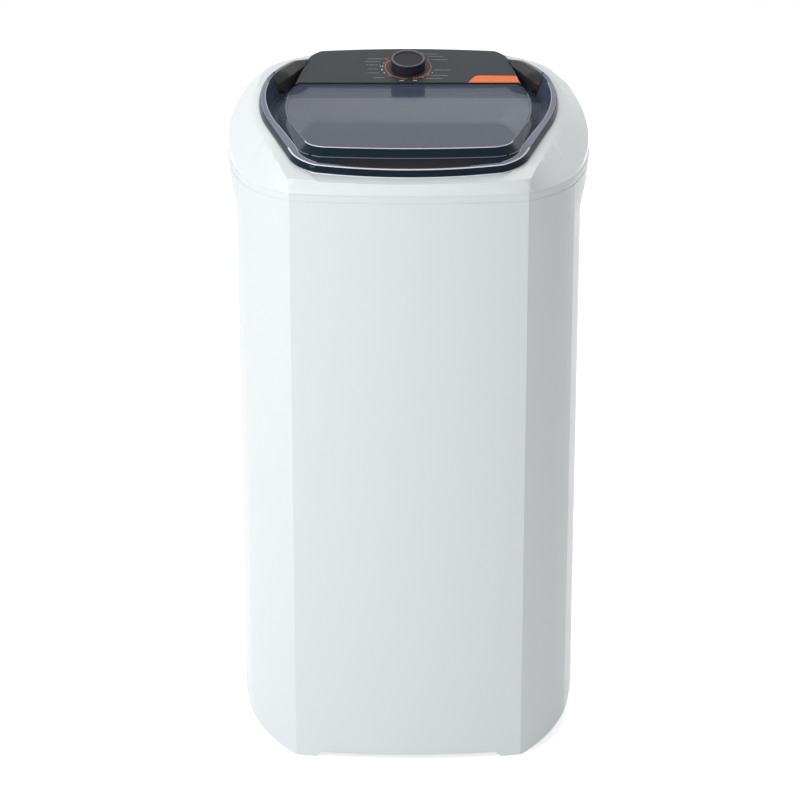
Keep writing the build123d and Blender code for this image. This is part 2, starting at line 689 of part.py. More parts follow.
def panel_face(inset, z, slope, splay):
    # Plan of the raised panel block, with square front corners and round back corners.
    tilt = math.hypot(1, slope)
    plane = Plane(origin=(0, 0, z), x_dir=(1, 0, 0), z_dir=(0, -slope / tilt, 1 / tilt))
    front_y = SPLIT_Y + SPLIT_GAP
    points = [(171.0, front_y), (155.0, 221.0), (148.0, 238.0), (133.0, 250.3), (0, 256.5)]
    grown = [(x + splay - inset, y) for x, y in points[:2]]
    grown.append((points[2][0] + splay * 0.8 - inset * 0.8, points[2][1] + splay * 0.4 - inset * 0.6))
    grown.append((points[3][0] + splay * 0.5 - inset * 0.4, points[3][1] + splay * 0.5 - inset))
    grown.append((0, points[4][1] + splay * 0.6 - inset))
    grown[0] = (grown[0][0], front_y + inset)
    flat = [(x, y * tilt) for x, y in grown]
    edges = [
        Line(mirrored(flat[0]), flat[0]),
        Line(flat[0], flat[1]),
        ThreePointArc(flat[1], flat[2], flat[3]),
        ThreePointArc(flat[3], flat[4], mirrored(flat[3])),
        ThreePointArc(mirrored(flat[3]), mirrored(flat[2]), mirrored(flat[1])),
        Line(mirrored(flat[1]), mirrored(flat[0])),
    ]
    return plane * Face(Wire([edge.edge() for edge in edges]))


def panel_block(inset, low_z):
    splay = 13.0
    gutter = panel_face(inset, GUTTER_Z - inset, GUTTER_SLOPE, splay)
    top = panel_face(inset, PANEL_Z - inset, PANEL_SLOPE, 0)
    foot = panel_face(inset, low_z, 0, splay)
    return loft([foot, gutter, top], ruled=True)


def panel_normal():
    return Vector(0, -math.sin(math.radians(PANEL_TILT)), math.cos(math.radians(PANEL_TILT)))


def dial_plane(height):
    # Plane square to the dial's axis, at a height above the panel's face.
    centre = Vector(0, DIAL_Y, PANEL_Z + PANEL_SLOPE * DIAL_Y)
    return Plane(origin=centre + panel_normal() * height, x_dir=(1, 0, 0), z_dir=panel_normal())


def make_console():
    low_z = SEAM_Z - 10
    keep = block(-400, 400, 0, 400, 0, 1200) - lid_zone(SPLIT_GAP)
    hollow = block(-400, 400, 0, 400, 0, 1200) - lid_zone(SPLIT_GAP + LID_WALL)
    cap_z = REAR_CAP_Z - REAR_CAP_SLOPE * REAR_CAP_Y
    crown = crown_form(0, low_z) & keep & sloped_slab(cap_z, REAR_CAP_SLOPE, above=False)
    under = crown_form(LID_WALL, low_z - 1) & hollow & sloped_slab(cap_z - LID_WALL, REAR_CAP_SLOPE, above=False)
    outer = crown + panel_block(0, low_z) - swing_relief()
    inner = under + panel_block(LID_WALL, low_z - 1)
    console = outer - inner
    for x, y in console_screw_places():
        post = rod(x, y, SEAM_Z, plane_height(PANEL_Z, PANEL_SLOPE, y) - 1, 6)
        console += post & outer
    for side in (-1, 1):
        console += hinge_rod(side, RIDGE_WIDTH, HINGE_BOSS_R) & outer
        console -= knuckle_slot(side)
        console -= hinge_rod(side, HINGE_PIN_HALF + RUN_GAP, HINGE_PIN_R + RUN_GAP)
    console -= skirt_trim()
    console -= sloped_slab(SHELF_Z, SHELF_SLOPE, above=False)
    for x, y in console_screw_places():
        low = plane_height(SHELF_Z, SHELF_SLOPE, y)
        console -= rod(x, y, low - 1, low + SCREW_LENGTH, SCREW_R)
    console -= dial_plane(0) * Cylinder(TIMER_SHAFT_HOLE_R, 40)
    console -= extrude(panel_face(PANEL_MARGIN - SLIP, PANEL_Z, PANEL_SLOPE, 0), 20, dir=panel_normal())
    return main_solid(console)


def make_console_screws():
    return [screw_up(x, y, plane_height(SHELF_Z, SHELF_SLOPE, y) - DECK_WALL - 0.6)
            for x, y in console_screw_places()]


def make_control_panel():
    plate = extrude(panel_face(PANEL_MARGIN, PANEL_Z, PANEL_SLOPE, 0), PANEL_THICK, dir=panel_normal())
    return plate - dial_plane(0) * Cylinder(TIMER_SHAFT_HOLE_R, 40)


def make_knob():
    low = PANEL_THICK + KNOB_LIFT
    high = low + KNOB_HEIGHT
    profile = [
        (TIMER_SHAFT_R, low), (KNOB_R - 1, low), (KNOB_R, low + 1), (KNOB_R - 0.8, high - 1.2),
        (KNOB_R - 2, high), (KNOB_R - KNOB_RIM, high - KNOB_DISH), (0, high - KNOB_DISH),
        (0, high - 5), (TIMER_SHAFT_R, high - 5),
    ]
    return dial_plane(0) * turned(profile)


def make_timer_shaft():
    top = PANEL_THICK + KNOB_LIFT + KNOB_HEIGHT - 5
    low = -LID_WALL - TIMER_DEPTH + 3
    return dial_plane((top + low) / 2) * Cylinder(TIMER_SHAFT_R, top - low)


def make_timer():
    plate_top = -LID_WALL
    case = turned([(0, -TIMER_DEPTH), (TIMER_R - 2, -TIMER_DEPTH), (TIMER_R, -TIMER_DEPTH + 2),
                   (TIMER_R, -TIMER_PLATE), (0, -TIMER_PLATE)])
    plate = Pos(0, 0, -TIMER_PLATE / 2) * Box(TIMER_PLATE_HALF * 2, TIMER_R * 2, TIMER_PLATE)
    timer = case + plate
    timer -= Pos(0, 0, -TIMER_DEPTH / 2 + 1.5) * Cylinder(TIMER_SHAFT_R + RUN_GAP, TIMER_DEPTH - 3 + 0.01)
    return dial_plane(plate_top) * timer


def tub_outline(grow=0.0):
    width = (TUB_HALF + grow) * 2
    depth = TUB_REAR_Y - TUB_FRONT_Y + grow * 2
    middle_y = (TUB_REAR_Y + TUB_FRONT_Y) / 2
    return Pos(0, middle_y, 0) * RectangleRounded(width, depth, TUB_CORNER + grow)


def tub_form(inset, floor_z):
    # Tapered, rounded-square vessel with a round turn into its floor.
    face = Pos(0, 0, TUB_TOP_Z) * tub_outline(-inset)
    vessel = extrude(face, amount=-(TUB_TOP_Z - floor_z), taper=TUB_TAPER)
    floor_edges = vessel.faces().sort_by(Axis.Z)[0].edges()
    return fillet(floor_edges, TUB_FLOOR_ROUND - inset)


def rib_places():
    # Middle of each wall, in pairs, where clothes rub against the tub.
    places = []
    for offset in (-70, 70):
        places.append((offset, TUB_FRONT_Y + TUB_WALL, 0, -1))
        places.append((offset, TUB_REAR_Y - TUB_WALL, 0, 1))
        places.append((TUB_HALF - TUB_WALL, offset, 1, 0))
        places.append((-TUB_HALF + TUB_WALL, offset, -1, 0))
    return places


def tub_rib(x, y, side_x, side_y):
    # Half-round rib with tapered ends that leans with the wall.
    drop_low = (TUB_TOP_Z - RIB_LOW_Z) * TUB_LEAN
    drop_high = (TUB_TOP_Z - RIB_HIGH_Z) * TUB_LEAN
    low = Vector(x - side_x * drop_low, y - side_y * drop_low, RIB_LOW_Z)
    high = Vector(x - side_x * drop_high, y - side_y * drop_high, RIB_HIGH_Z)
    path = Plane(origin=low, z_dir=high - low)
    length = (high - low).length
    shank = Pos(0, 0, length / 2) * Cylinder(RIB_R, length)
    nose = Pos(0, 0, length + RIB_R) * Cone(RIB_R, 1, RIB_R * 2)
    heel = Pos(0, 0, -RIB_R) * Cone(1, RIB_R, RIB_R * 2)
    return path * (shank + nose + heel)


def filter_rails():
    # Pair of upright channels on the rear wall that hold the lint filter.
    wall_y = TUB_REAR_Y - TUB_WALL / 2
    rails = None
    for side in (-1, 1):
        outer_x = side * (FILTER_HALF + FILTER_GAP + RAIL_THICK)
        inner_x = side * (FILTER_HALF + FILTER_GAP)
        lip_x = side * (FILTER_HALF + FILTER_GAP - RAIL_LIP)
        x0, x1 = sorted((inner_x, outer_x))
        web = block(x0, x1, FILTER_Y - RAIL_THICK - FILTER_GAP, wall_y, FILTER_LOW_Z, FILTER_HIGH_Z)
        x0, x1 = sorted((lip_x, outer_x))
        lip = block(x0, x1, FILTER_Y - RAIL_THICK - FILTER_GAP, FILTER_Y - FILTER_GAP, FILTER_LOW_Z, FILTER_HIGH_Z)
        rail = web + lip
        rails = rail if rails is None else rails + rail
    foot = block(-FILTER_HALF - FILTER_GAP - RAIL_THICK, FILTER_HALF + FILTER_GAP + RAIL_THICK,
                 FILTER_Y - RAIL_THICK - FILTER_GAP, wall_y, FILTER_LOW_Z - RAIL_THICK, FILTER_LOW_Z)
    return rails + foot


def make_tub():
    outer = tub_form(0, TUB_BOTTOM_Z)
    inner = tub_form(TUB_WALL, TUB_FLOOR_Z)
    ribs = None
    for place in rib_places():
        rib = tub_rib(*place)
        ribs = rib if ribs is None else ribs + rib
    tub = outer - inner + (ribs & outer)
    tub += filter_rails() & outer
    flange = cabinet_face(TUB_LEDGE_CROWN, CABINET_WALL + 1) - tub_outline(-TUB_WALL + 1)
    tub += prism(flange, TUB_LEDGE_Z, TUB_LEDGE_Z + TUB_FLANGE) - tub_form(TUB_WALL, TUB_FLOOR_Z)
    tub += rod(DRAIN_X, SUMP_Y, TUB_BOTTOM_Z - HOSE_LAP - 4, TUB_FLOOR_Z, SPIGOT_R)
    tub -= rod(DRAIN_X, SUMP_Y, TUB_BOTTOM_Z - HOSE_LAP - 5, TUB_FLOOR_Z + 1, SPIGOT_BORE)
    tub -= rod(0, DRIVE_Y, TUB_BOTTOM_Z - 1, TUB_FLOOR_Z + 1, SEAL_R)
    for x, y in hub_screw_places():
        tub -= rod(x, y, TUB_BOTTOM_Z - 1, TUB_FLOOR_Z + 1, BOLT_R)
    for x, y in tub_screw_places():
        tub -= rod(x, y, TUB_LEDGE_Z - 1, TUB_LEDGE_Z + TUB_FLANGE + 1, SCREW_R)
    return tub


def make_tub_screws():
    return [screw_down(x, y, TUB_LEDGE_Z + TUB_FLANGE) for x, y in tub_screw_places()]


def make_tub_ring():
    # Flat ring that closes the gap between the tub's rim and the mouth of the deck.
    plate = prism(tub_outline(RING_THICK) - lip_face(MOUTH_OUTLINE, 0), TUB_TOP_Z, TUB_TOP_Z + RING_THICK)
    lip = prism(tub_outline(RING_THICK) - tub_outline(SLIP), TUB_TOP_Z - RING_LIP, TUB_TOP_Z)
    return plate + lip


def make_lint_filter():
    # Framed screen with a grid of slots and a finger tab on top.
    low_y = FILTER_Y
    high_y = FILTER_Y + FILTER_THICK
    low_z = FILTER_LOW_Z + FILTER_GAP
    frame = block(-FILTER_HALF, FILTER_HALF, low_y, high_y, low_z, FILTER_HIGH_Z)
    columns = 5
    rows = 5
    cell_x = (FILTER_HALF * 2 - FILTER_BAR) / columns
    cell_z = (FILTER_HIGH_Z - low_z - FILTER_BAR) / rows
    cells = []
    for column in range(columns):
        x0 = -FILTER_HALF + FILTER_BAR + column * cell_x
        for row in range(rows):
            z0 = low_z + FILTER_BAR + row * cell_z
            cells.append(block(x0, x0 + cell_x - FILTER_BAR, low_y - 1, high_y + 1, z0, z0 + cell_z - FILTER_BAR))
    frame -= cells
    tab = block(-15, 15, low_y, low_y + 3, FILTER_HIGH_Z - 1, FILTER_HIGH_Z + 16)
    return frame + tab


def hub_screw_places():
    radius = HUB_FLANGE_R - 12
    places = []
    for index in range(6):
        angle = math.radians(60 * index + 30)
        places.append((radius * math.cos(angle), DRIVE_Y + radius * math.sin(angle)))
    return places


def make_bearing_housing():
    top = TUB_BOTTOM_Z
    profile = [
        (BUSH_R, HUB_LOW_Z), (HUB_R, HUB_LOW_Z), (HUB_R, top - HUB_FLANGE - 10),
        (HUB_R + 10, top - HUB_FLANGE), (HUB_FLANGE_R, top - HUB_FLANGE), (HUB_FLANGE_R, top), (BUSH_R, top),
    ]
    housing = turned(profile)
    for index in range(6):
        web = Polyline((HUB_R - 1, HUB_LOW_Z + 6), (HUB_FLANGE_R - 4, top - HUB_FLANGE + 1),
                       (HUB_R - 1, top - HUB_FLANGE + 1), close=True)
        rib = extrude(Plane.XZ * Face(web.wire()), HUB_WEB / 2, both=True)
        housing += Rot(0, 0, 60 * index) * rib
    housing = Pos(0, DRIVE_Y, 0) * housing
    for x, y in hub_screw_places():
        housing -= rod(x, y, top - HUB_FLANGE - 1, top + 1, BOLT_R)
    return housing


def bolt_down(x, y, head_z, length):
    head = Pos(0, 0, 0) * extrude(RegularPolygon(BOLT_HEAD_R, 6), BOLT_HEAD)
    return Pos(x, y, head_z) * (head + rod(0, 0, -length, 0, BOLT_R))


def make_hub_bolts():
    return [bolt_down(x, y, TUB_FLOOR_Z, TUB_WALL + HUB_FLANGE + 3) for x, y in hub_screw_places()]


def make_shaft_bushes():
    low = HUB_LOW_Z + 2
    high = TUB_BOTTOM_Z - BUSH_LENGTH - 4
    return [tube(0, DRIVE_Y, z, z + BUSH_LENGTH, BUSH_R, SHAFT_R + RUN_GAP) for z in (low, high)]


def make_shaft_seal():
    # Lipped rubber ring in the floor of the tub.
    low = TUB_BOTTOM_Z + 0.2
    profile = [
        (SHAFT_R + RUN_GAP, low), (SEAL_R - 0.1, low), (SEAL_R - 0.1, TUB_FLOOR_Z), (SEAL_R + 1.5, TUB_FLOOR_Z),
        (SEAL_R + 1.5, TUB_FLOOR_Z + 1), (SHAFT_R + 3, low + SEAL_HEIGHT - 2), (SHAFT_R + RUN_GAP, low + SEAL_HEIGHT - 2),
    ]
    return Pos(0, DRIVE_Y, 0) * turned(profile)


def make_impeller_shaft():
    low = PULLEY_Z - 14
    high = TUB_FLOOR_Z + IMPELLER_LIFT + 14
    shaft = rod(0, 0, low, high, SHAFT_R)
    shaft += tube(0, 0, HUB_LOW_Z - 2.4, HUB_LOW_Z - 0.4, SHAFT_R + 3, SHAFT_R - 1)
    shaft -= rod(0, 0, high - 10, high + 1, SCREW_R)
    return Pos(0, DRIVE_Y, 0) * shaft


def make_impeller():
    # Shallow dish with a raised boss and curved vanes.
    low = TUB_FLOOR_Z + IMPELLER_LIFT
    top = low + IMPELLER_DISH
    profile = [
        (SHAFT_R, low + 4), (20, low + 4), (24, low), (IMPELLER_R - 3, low), (IMPELLER_R, low + 3),
        (IMPELLER_R - 2, top), (60, top - 1), (36, top + 12), (22, top + 16), (SCREW_HEAD_R + 3, top + 16),
        (SCREW_HEAD_R + 3, top + 9), (SHAFT_R, top + 9),
    ]
    dish = turned(profile)
    vane = Polyline((34, top - 2), (IMPELLER_R - 8, top - 2), (IMPELLER_R - 12, top + 6),
                    (80, top + VANE_HEIGHT - 4), (34, top + VANE_HEIGHT - 8), close=True)
    blade = extrude(Plane.XZ * Face(vane.wire()), 5, both=True)
    for index in range(VANE_COUNT):
        dish += Rot(0, 0, 360 / VANE_COUNT * index) * blade
    return Pos(0, DRIVE_Y, 0) * dish


def make_impeller_screw():
    top = TUB_FLOOR_Z + IMPELLER_LIFT + IMPELLER_DISH + 9
    return screw_down(0, DRIVE_Y, top, 9)


def groove_profile(radius):
    # Section of a V-groove cut into a pulley's rim.
    floor = radius - GROOVE_DEPTH
    middle = PULLEY_WIDTH / 2
    return [
        (radius + 1, middle - GROOVE_MOUTH / 2), (radius, middle - GROOVE_MOUTH / 2), (floor, middle - GROOVE_FLOOR / 2),
        (floor, middle + GROOVE_FLOOR / 2), (radius, middle + GROOVE_MOUTH / 2), (radius + 1, middle + GROOVE_MOUTH / 2),
    ]


def make_large_pulley():
    web_low = (PULLEY_WIDTH - PULLEY_WEB) / 2
    web_high = web_low + PULLEY_WEB
    rim = PULLEY_R - GROOVE_DEPTH - 5
    profile = [
        (SHAFT_R, 0), (20, 0), (20, web_low), (rim, web_low), (rim, 0), (PULLEY_R, 0),
        (PULLEY_R, PULLEY_WIDTH), (rim, PULLEY_WIDTH), (rim, web_high), (20, web_high),
        (20, PULLEY_WIDTH), (SHAFT_R, PULLEY_WIDTH),
    ]
    pulley = turned(profile) - turned(groove_profile(PULLEY_R))
    window = Pos(62, 0, 0) * extrude(SlotOverall(60, 34), PULLEY_WIDTH)
    for index in range(PULLEY_SPOKES):
        pulley -= Rot(0, 0, 360 / PULLEY_SPOKES * index) * window
    return Pos(0, DRIVE_Y, PULLEY_Z) * pulley


def make_pulley_nut():
    nut = extrude(RegularPolygon(9.5, 6), 6) - Pos(0, 0, 3) * Cylinder(SHAFT_R, 8)
    return Pos(0, DRIVE_Y, PULLEY_Z - 6) * nut


def make_motor_pulley():
    profile = [(SHAFT_R, 0), (MOTOR_PULLEY_R, 0), (MOTOR_PULLEY_R, PULLEY_WIDTH), (SHAFT_R, PULLEY_WIDTH)]
    pulley = turned(profile) - turned(groove_profile(MOTOR_PULLEY_R))
    return Pos(0, MOTOR_Y, PULLEY_Z) * pulley


def belt_loop(inner_offset):
    # Open belt round both pulleys, as a closed face of two arcs and two tangents.
    large = PULLEY_R - inner_offset
    small = MOTOR_PULLEY_R - inner_offset
    span = MOTOR_Y - DRIVE_Y
    lean = math.asin((large - small) / span)
    cos_lean = math.cos(lean)
    sin_lean = math.sin(lean)
    large_touch = (large * cos_lean, DRIVE_Y + large * sin_lean)
    small_touch = (small * cos_lean, MOTOR_Y + small * sin_lean)
    edges = [
        ThreePointArc(mirrored(large_touch), (0, DRIVE_Y - large), large_touch),
        Line(large_touch, small_touch),
        ThreePointArc(small_touch, (0, MOTOR_Y + small), mirrored(small_touch)),
        Line(mirrored(small_touch), mirrored(large_touch)),
    ]
    return Face(Wire([edge.edge() for edge in edges]))


def make_belt():
    # Belt that runs in both grooves, clear of their walls.
    middle_z = PULLEY_Z + PULLEY_WIDTH / 2
    inner = GROOVE_DEPTH - BELT_GAP
    band = belt_loop(inner - BELT_DEPTH) - belt_loop(inner)
    return prism(band, middle_z - BELT_WIDTH / 2, middle_z + BELT_WIDTH / 2)


def make_motor_shaft():
    return rod(0, MOTOR_Y, MOTOR_LOW_Z + 10, PULLEY_Z + PULLEY_WIDTH + 4, SHAFT_R)


def make_motor():
    # Finned barrel between two end bells, with a bore for the rotor shaft.
    top = MOTOR_HEIGHT
    profile = [
        (0, 0), (MOTOR_R - 10, 0), (MOTOR_R, 12), (MOTOR_R, 22), (MOTOR_R - 4, 24), (MOTOR_R - 4, top - 24),
        (MOTOR_R, top - 22), (MOTOR_R, top - 12), (MOTOR_R - 12, top), (16, top), (14, top + 8), (0, top + 8),
    ]
    motor = turned(profile)
    for index in range(MOTOR_FINS):
        fin = Pos(MOTOR_R - 3, 0, top / 2) * Box(6, 3, top - 46)
        motor += Rot(0, 0, 360 / MOTOR_FINS * index) * fin
    motor -= rod(0, 0, 10, top + 9, SHAFT_R + RUN_GAP)
    return Pos(0, MOTOR_Y, MOTOR_LOW_Z) * motor


def mount_places():
    return [(sx * MOUNT_X, MOTOR_Y + sy * MOUNT_PITCH_Y / 2) for sx in (-1, 1) for sy in (-1, 1)]


def make_motor_bracket():
    half_x = MOUNT_X + 14
    half_y = MOUNT_PITCH_Y / 2 + 14
    plate = extrude(RectangleRounded(half_x * 2, half_y * 2, 12), BRACKET_THICK)
    lips = block(-half_x + 14, half_x - 14, half_y - BRACKET_THICK, half_y, 0, 14)
    lips += block(-half_x + 14, half_x - 14, -half_y, -half_y + BRACKET_THICK, 0, 14)
    plate += lips
    plate = Pos(0, MOTOR_Y, BRACKET_Z) * plate
    for x, y in mount_places():
        plate -= rod(x, y, BRACKET_Z - 1, BRACKET_Z + BRACKET_THICK + 1, BOLT_R)
    return plate


def make_motor_mounts():
    # Waisted rubber blocks between base and bracket.
    mounts = []
    for x, y in mount_places():
        profile = [
            (BOLT_R, 0), (MOUNT_R, 0), (MOUNT_R - 3, 8), (MOUNT_R - 3, MOUNT_HEIGHT - 8),
            (MOUNT_R, MOUNT_HEIGHT), (BOLT_R, MOUNT_HEIGHT),
        ]
        mounts.append(Pos(x, y, MOUNT_LOW_Z) * turned(profile))
    return mounts


def make_motor_bolts():
    length = BRACKET_THICK + MOUNT_HEIGHT + 12
    return [bolt_down(x, y, BRACKET_Z + BRACKET_THICK, length) for x, y in mount_places()]


def foot_places():
    return both_sides(FOOT_X, FOOT_FRONT_Y) + both_sides(FOOT_X, FOOT_REAR_Y)


def make_base_tray():
    low = BASE_TOP_Z - BASE_THICK
    plate = prism(cabinet_face(SIDE_CROWN, CABINET_WALL + 1), low, BASE_TOP_Z)
    rim = prism(cabinet_face(SIDE_CROWN, CABINET_WALL + BASE_LEDGE_WIDTH + 2)
                - cabinet_face(SIDE_CROWN, CABINET_WALL + BASE_LEDGE_WIDTH + 5), BASE_TOP_Z, BASE_TOP_Z + BASE_RIB)
    tray = plate + rim
    for x in (-90, 0, 90):
        tray += block(x - 2, x + 2, FRONT_Y + 40, REAR_Y - 40, BASE_TOP_Z - 1, BASE_TOP_Z + BASE_RIB)
    for y in (-150, -50):
        tray += block(-SIDE_X + 20, SIDE_X - 20, y - 2, y + 2, BASE_TOP_Z - 1, BASE_TOP_Z + BASE_RIB)
    for x, y in mount_places():
        tray += rod(x, y, BASE_TOP_Z - 1, MOUNT_LOW_Z, MOUNT_R)
        tray -= rod(x, y, MOUNT_LOW_Z - 14, MOUNT_LOW_Z + 1, BOLT_R)
    for x, y in foot_places():
        tray += rod(x, y, PAD_HEIGHT, BASE_TOP_Z - 1, FOOT_POST_R)
        tray -= rod(x, y, PAD_HEIGHT - 1, PAD_HEIGHT + 12, 6)
    for x, y in base_screw_places():
        tray -= rod(x, y, low - 1, BASE_TOP_Z + 1, SCREW_R)
    clip_room = rod(CAPACITOR_X, CAPACITOR_Y, BASE_TOP_Z, BASE_TOP_Z + 60, CAPACITOR_R + CLIP_THICK + 3)
    return tray - clip_room


def make_foot_pads():
    pads = []
    for x, y in foot_places():
        profile = [(0, 0), (PAD_R - 2, 0), (PAD_R, 2), (PAD_R, PAD_HEIGHT), (6, PAD_HEIGHT),
                   (6, PAD_HEIGHT + 11), (0, PAD_HEIGHT + 11)]
        pads.append(Pos(x, y, 0) * turned(profile))
    return pads


def make_base_screws():
    return [screw_up(x, y, BASE_TOP_Z - BASE_THICK) for x, y in base_screw_places()]


def make_capacitor():
    profile = [(0, 0), (CAPACITOR_R - 2, 0), (CAPACITOR_R, 2), (CAPACITOR_R, CAPACITOR_HEIGHT),
               (CAPACITOR_R - 2, CAPACITOR_HEIGHT + 2), (0, CAPACITOR_HEIGHT + 2)]
    can = turned(profile)
    for x in (-7, 7):
        can += block(x - 0.5, x + 0.5, -3, 3, CAPACITOR_HEIGHT + 1, CAPACITOR_HEIGHT + 12)
    return Pos(CAPACITOR_X, CAPACITOR_Y, BASE_TOP_Z) * can


def make_capacitor_clip():
    # Spring band round the can with a foot screwed to the base.
    outer = CAPACITOR_R + SLIP + CLIP_THICK
    band = tube(0, 0, 20, 34, outer, CAPACITOR_R + SLIP)
    leg = block(outer - CLIP_THICK, outer, -7, 7, 0, 34)
    foot = block(outer - CLIP_THICK, outer + 16, -7, 7, 0, CLIP_THICK)
    return Pos(CAPACITOR_X, CAPACITOR_Y, BASE_TOP_Z) * (band + leg + foot)


def make_rear_cover():
    # Plate over the service opening with rows of cooling slots.
    plate = block(-COVER_HALF - COVER_LAP, COVER_HALF + COVER_LAP, BAY_WALL_Y, BAY_WALL_Y + COVER_THICK,
                  COVER_LOW_Z - COVER_LAP, COVER_HIGH_Z + COVER_LAP)
    slots = []
    for column in (-50, 50):
        for row in range(8):
            z = COVER_LOW_Z + 30 + row * 16
            slots.append(block(column - 35, column + 35, BAY_WALL_Y - 1, BAY_WALL_Y + COVER_THICK + 1, z, z + 5))
    plate -= slots
    for x, z in cover_screw_places():
        plate -= rod_y(x, BAY_WALL_Y - 1, BAY_WALL_Y + COVER_THICK + 1, z, SCREW_R)
    return plate


def make_cover_screws():
    return [screw_back(x, z, BAY_WALL_Y + COVER_THICK) for x, z in cover_screw_places()]


def make_drain_outlet():
    # Tail for the inner hose, flange and collar held in the wall, and a spigot for a hose outside.
    inside = BAY_WALL_Y - CABINET_WALL
    seat_y = BAY_WALL_Y + OUTLET_COLLAR
    outlet = rod_y(DRAIN_X, inside - HOSE_LAP - 6, inside, DRAIN_Z, SPIGOT_R)
    outlet += rod_y(DRAIN_X, inside - OUTLET_COLLAR, inside, DRAIN_Z, OUTLET_COLLAR_R + 5)
    outlet += rod_y(DRAIN_X, inside, seat_y, DRAIN_Z, OUTLET_COLLAR_R)
    outlet += rod_y(DRAIN_X, seat_y, seat_y + OUTLET_LENGTH, DRAIN_Z, OUTLET_R)
    return outlet - rod_y(DRAIN_X, inside - HOSE_LAP - 7, REAR_Y, DRAIN_Z, SPIGOT_BORE)


def hose_path():
    low_y = BAY_WALL_Y - CABINET_WALL - 6
    top_z = TUB_BOTTOM_Z - 4
    return FilletPolyline((DRAIN_X, SUMP_Y, top_z), (DRAIN_X, SUMP_Y, DRAIN_Z), (DRAIN_X, low_y, DRAIN_Z),
                          radius=DRAIN_BEND)


def make_drain_hose():
    bore = SPIGOT_R + HOSE_GAP
    path = hose_path()
    start = Plane(origin=path @ 0, z_dir=path % 0)
    ring = Circle(bore + HOSE_WALL) - Circle(bore)
    return sweep(start * ring, path=path)


def make_hose_clips():
    inner = SPIGOT_R + HOSE_GAP + HOSE_WALL + HOSE_GAP
    top = TUB_BOTTOM_Z - 8 - HOSE_CLIP
    upper = tube(DRAIN_X, SUMP_Y, top, top + HOSE_CLIP, inner + 1.5, inner)
    rear_y = BAY_WALL_Y - CABINET_WALL - 10 - HOSE_CLIP
    lower = rod_y(DRAIN_X, rear_y, rear_y + HOSE_CLIP, DRAIN_Z, inner + 1.5)
    lower -= rod_y(DRAIN_X, rear_y - 1, rear_y + HOSE_CLIP + 1, DRAIN_Z, inner)
    return [upper, lower]


def make_cord_gland():
    # Empty cord inlet: a grommet that grips the rear wall.
    inside = BAY_WALL_Y - CABINET_WALL
    gland = rod_y(GLAND_X, inside - 3, BAY_WALL_Y + 3, DRAIN_Z, GLAND_R)
    gland += rod_y(GLAND_X, inside - 3, inside, DRAIN_Z, GLAND_R + 3)
    gland += rod_y(GLAND_X, BAY_WALL_Y, BAY_WALL_Y + 3, DRAIN_Z, GLAND_R + 3)
    nose = Pos(GLAND_X, BAY_WALL_Y + 3, DRAIN_Z) * Rot(-90, 0, 0) * Pos(0, 0, 6) * Cone(GLAND_R, GLAND_R - 3, 12)
    return gland + nose - rod_y(GLAND_X, inside - 4, REAR_Y, DRAIN_Z, GLAND_BORE)


MAKERS = {
    "cabinet": make_cabinet,
    "base_tray": make_base_tray,
    "foot_pads": make_foot_pads,
    "base_screws": make_base_screws,
    "top_deck": make_deck,
    "deck_screws": make_deck_screws,
    "lid": make_lid,
    "lid_hinge_pins": make_hinge_pins,
    "console": make_console,
    "console_screws": make_console_screws,
    "control_panel": make_control_panel,
    "timer_knob": make_knob,
    "timer_shaft": make_timer_shaft,
    "timer": make_timer,
    "wash_tub": make_tub,
    "tub_screws": make_tub_screws,
    "tub_ring": make_tub_ring,
    "lint_filter": make_lint_filter,
    "bearing_housing": make_bearing_housing,
    "hub_bolts": make_hub_bolts,
    "shaft_bushes": make_shaft_bushes,
    "shaft_seal": make_shaft_seal,
    "impeller_shaft": make_impeller_shaft,
    "impeller": make_impeller,
    "impeller_screw": make_impeller_screw,
    "large_pulley": make_large_pulley,
    "pulley_nut": make_pulley_nut,
    "drive_belt": make_belt,
    "motor_pulley": make_motor_pulley,
    "motor_shaft": make_motor_shaft,
    "motor": make_motor,
    "motor_bracket": make_motor_bracket,
    "motor_mounts": make_motor_mounts,
    "motor_bolts": make_motor_bolts,
    "run_capacitor": make_capacitor,
    "capacitor_clip": make_capacitor_clip,
    "rear_cover": make_rear_cover,
    "cover_screws": make_cover_screws,
    "drain_outlet": make_drain_outlet,
    "drain_hose": make_drain_hose,
    "hose_clips": make_hose_clips,
    "cord_gland": make_cord_gland,
}


def write_part(name, shape):
    solids = []
    for piece in shape if isinstance(shape, list) else [shape]:
        solids.extend(piece.solids())
    export_step(solids[0] if len(solids) == 1 else Compound(solids), f"parts/{name}.step")


os.makedirs("parts", exist_ok=True)
for part_name, maker in MAKERS.items():
    write_part(part_name, maker())
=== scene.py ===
import math

import bmesh
import bpy
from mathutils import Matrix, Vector


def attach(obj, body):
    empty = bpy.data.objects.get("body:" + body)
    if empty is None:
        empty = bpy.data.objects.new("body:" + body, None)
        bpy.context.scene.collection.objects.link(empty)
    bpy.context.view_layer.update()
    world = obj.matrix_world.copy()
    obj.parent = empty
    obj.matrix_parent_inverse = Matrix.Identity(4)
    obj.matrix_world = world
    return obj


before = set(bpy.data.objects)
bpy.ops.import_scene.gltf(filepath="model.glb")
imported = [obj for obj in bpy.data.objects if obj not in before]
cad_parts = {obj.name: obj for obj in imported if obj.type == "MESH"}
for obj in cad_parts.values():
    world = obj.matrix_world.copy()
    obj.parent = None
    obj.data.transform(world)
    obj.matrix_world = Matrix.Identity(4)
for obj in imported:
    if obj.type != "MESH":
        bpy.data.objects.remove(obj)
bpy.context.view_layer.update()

# Everything is in metres, in the machine's own frame: front towards -Y, floor at z = 0.

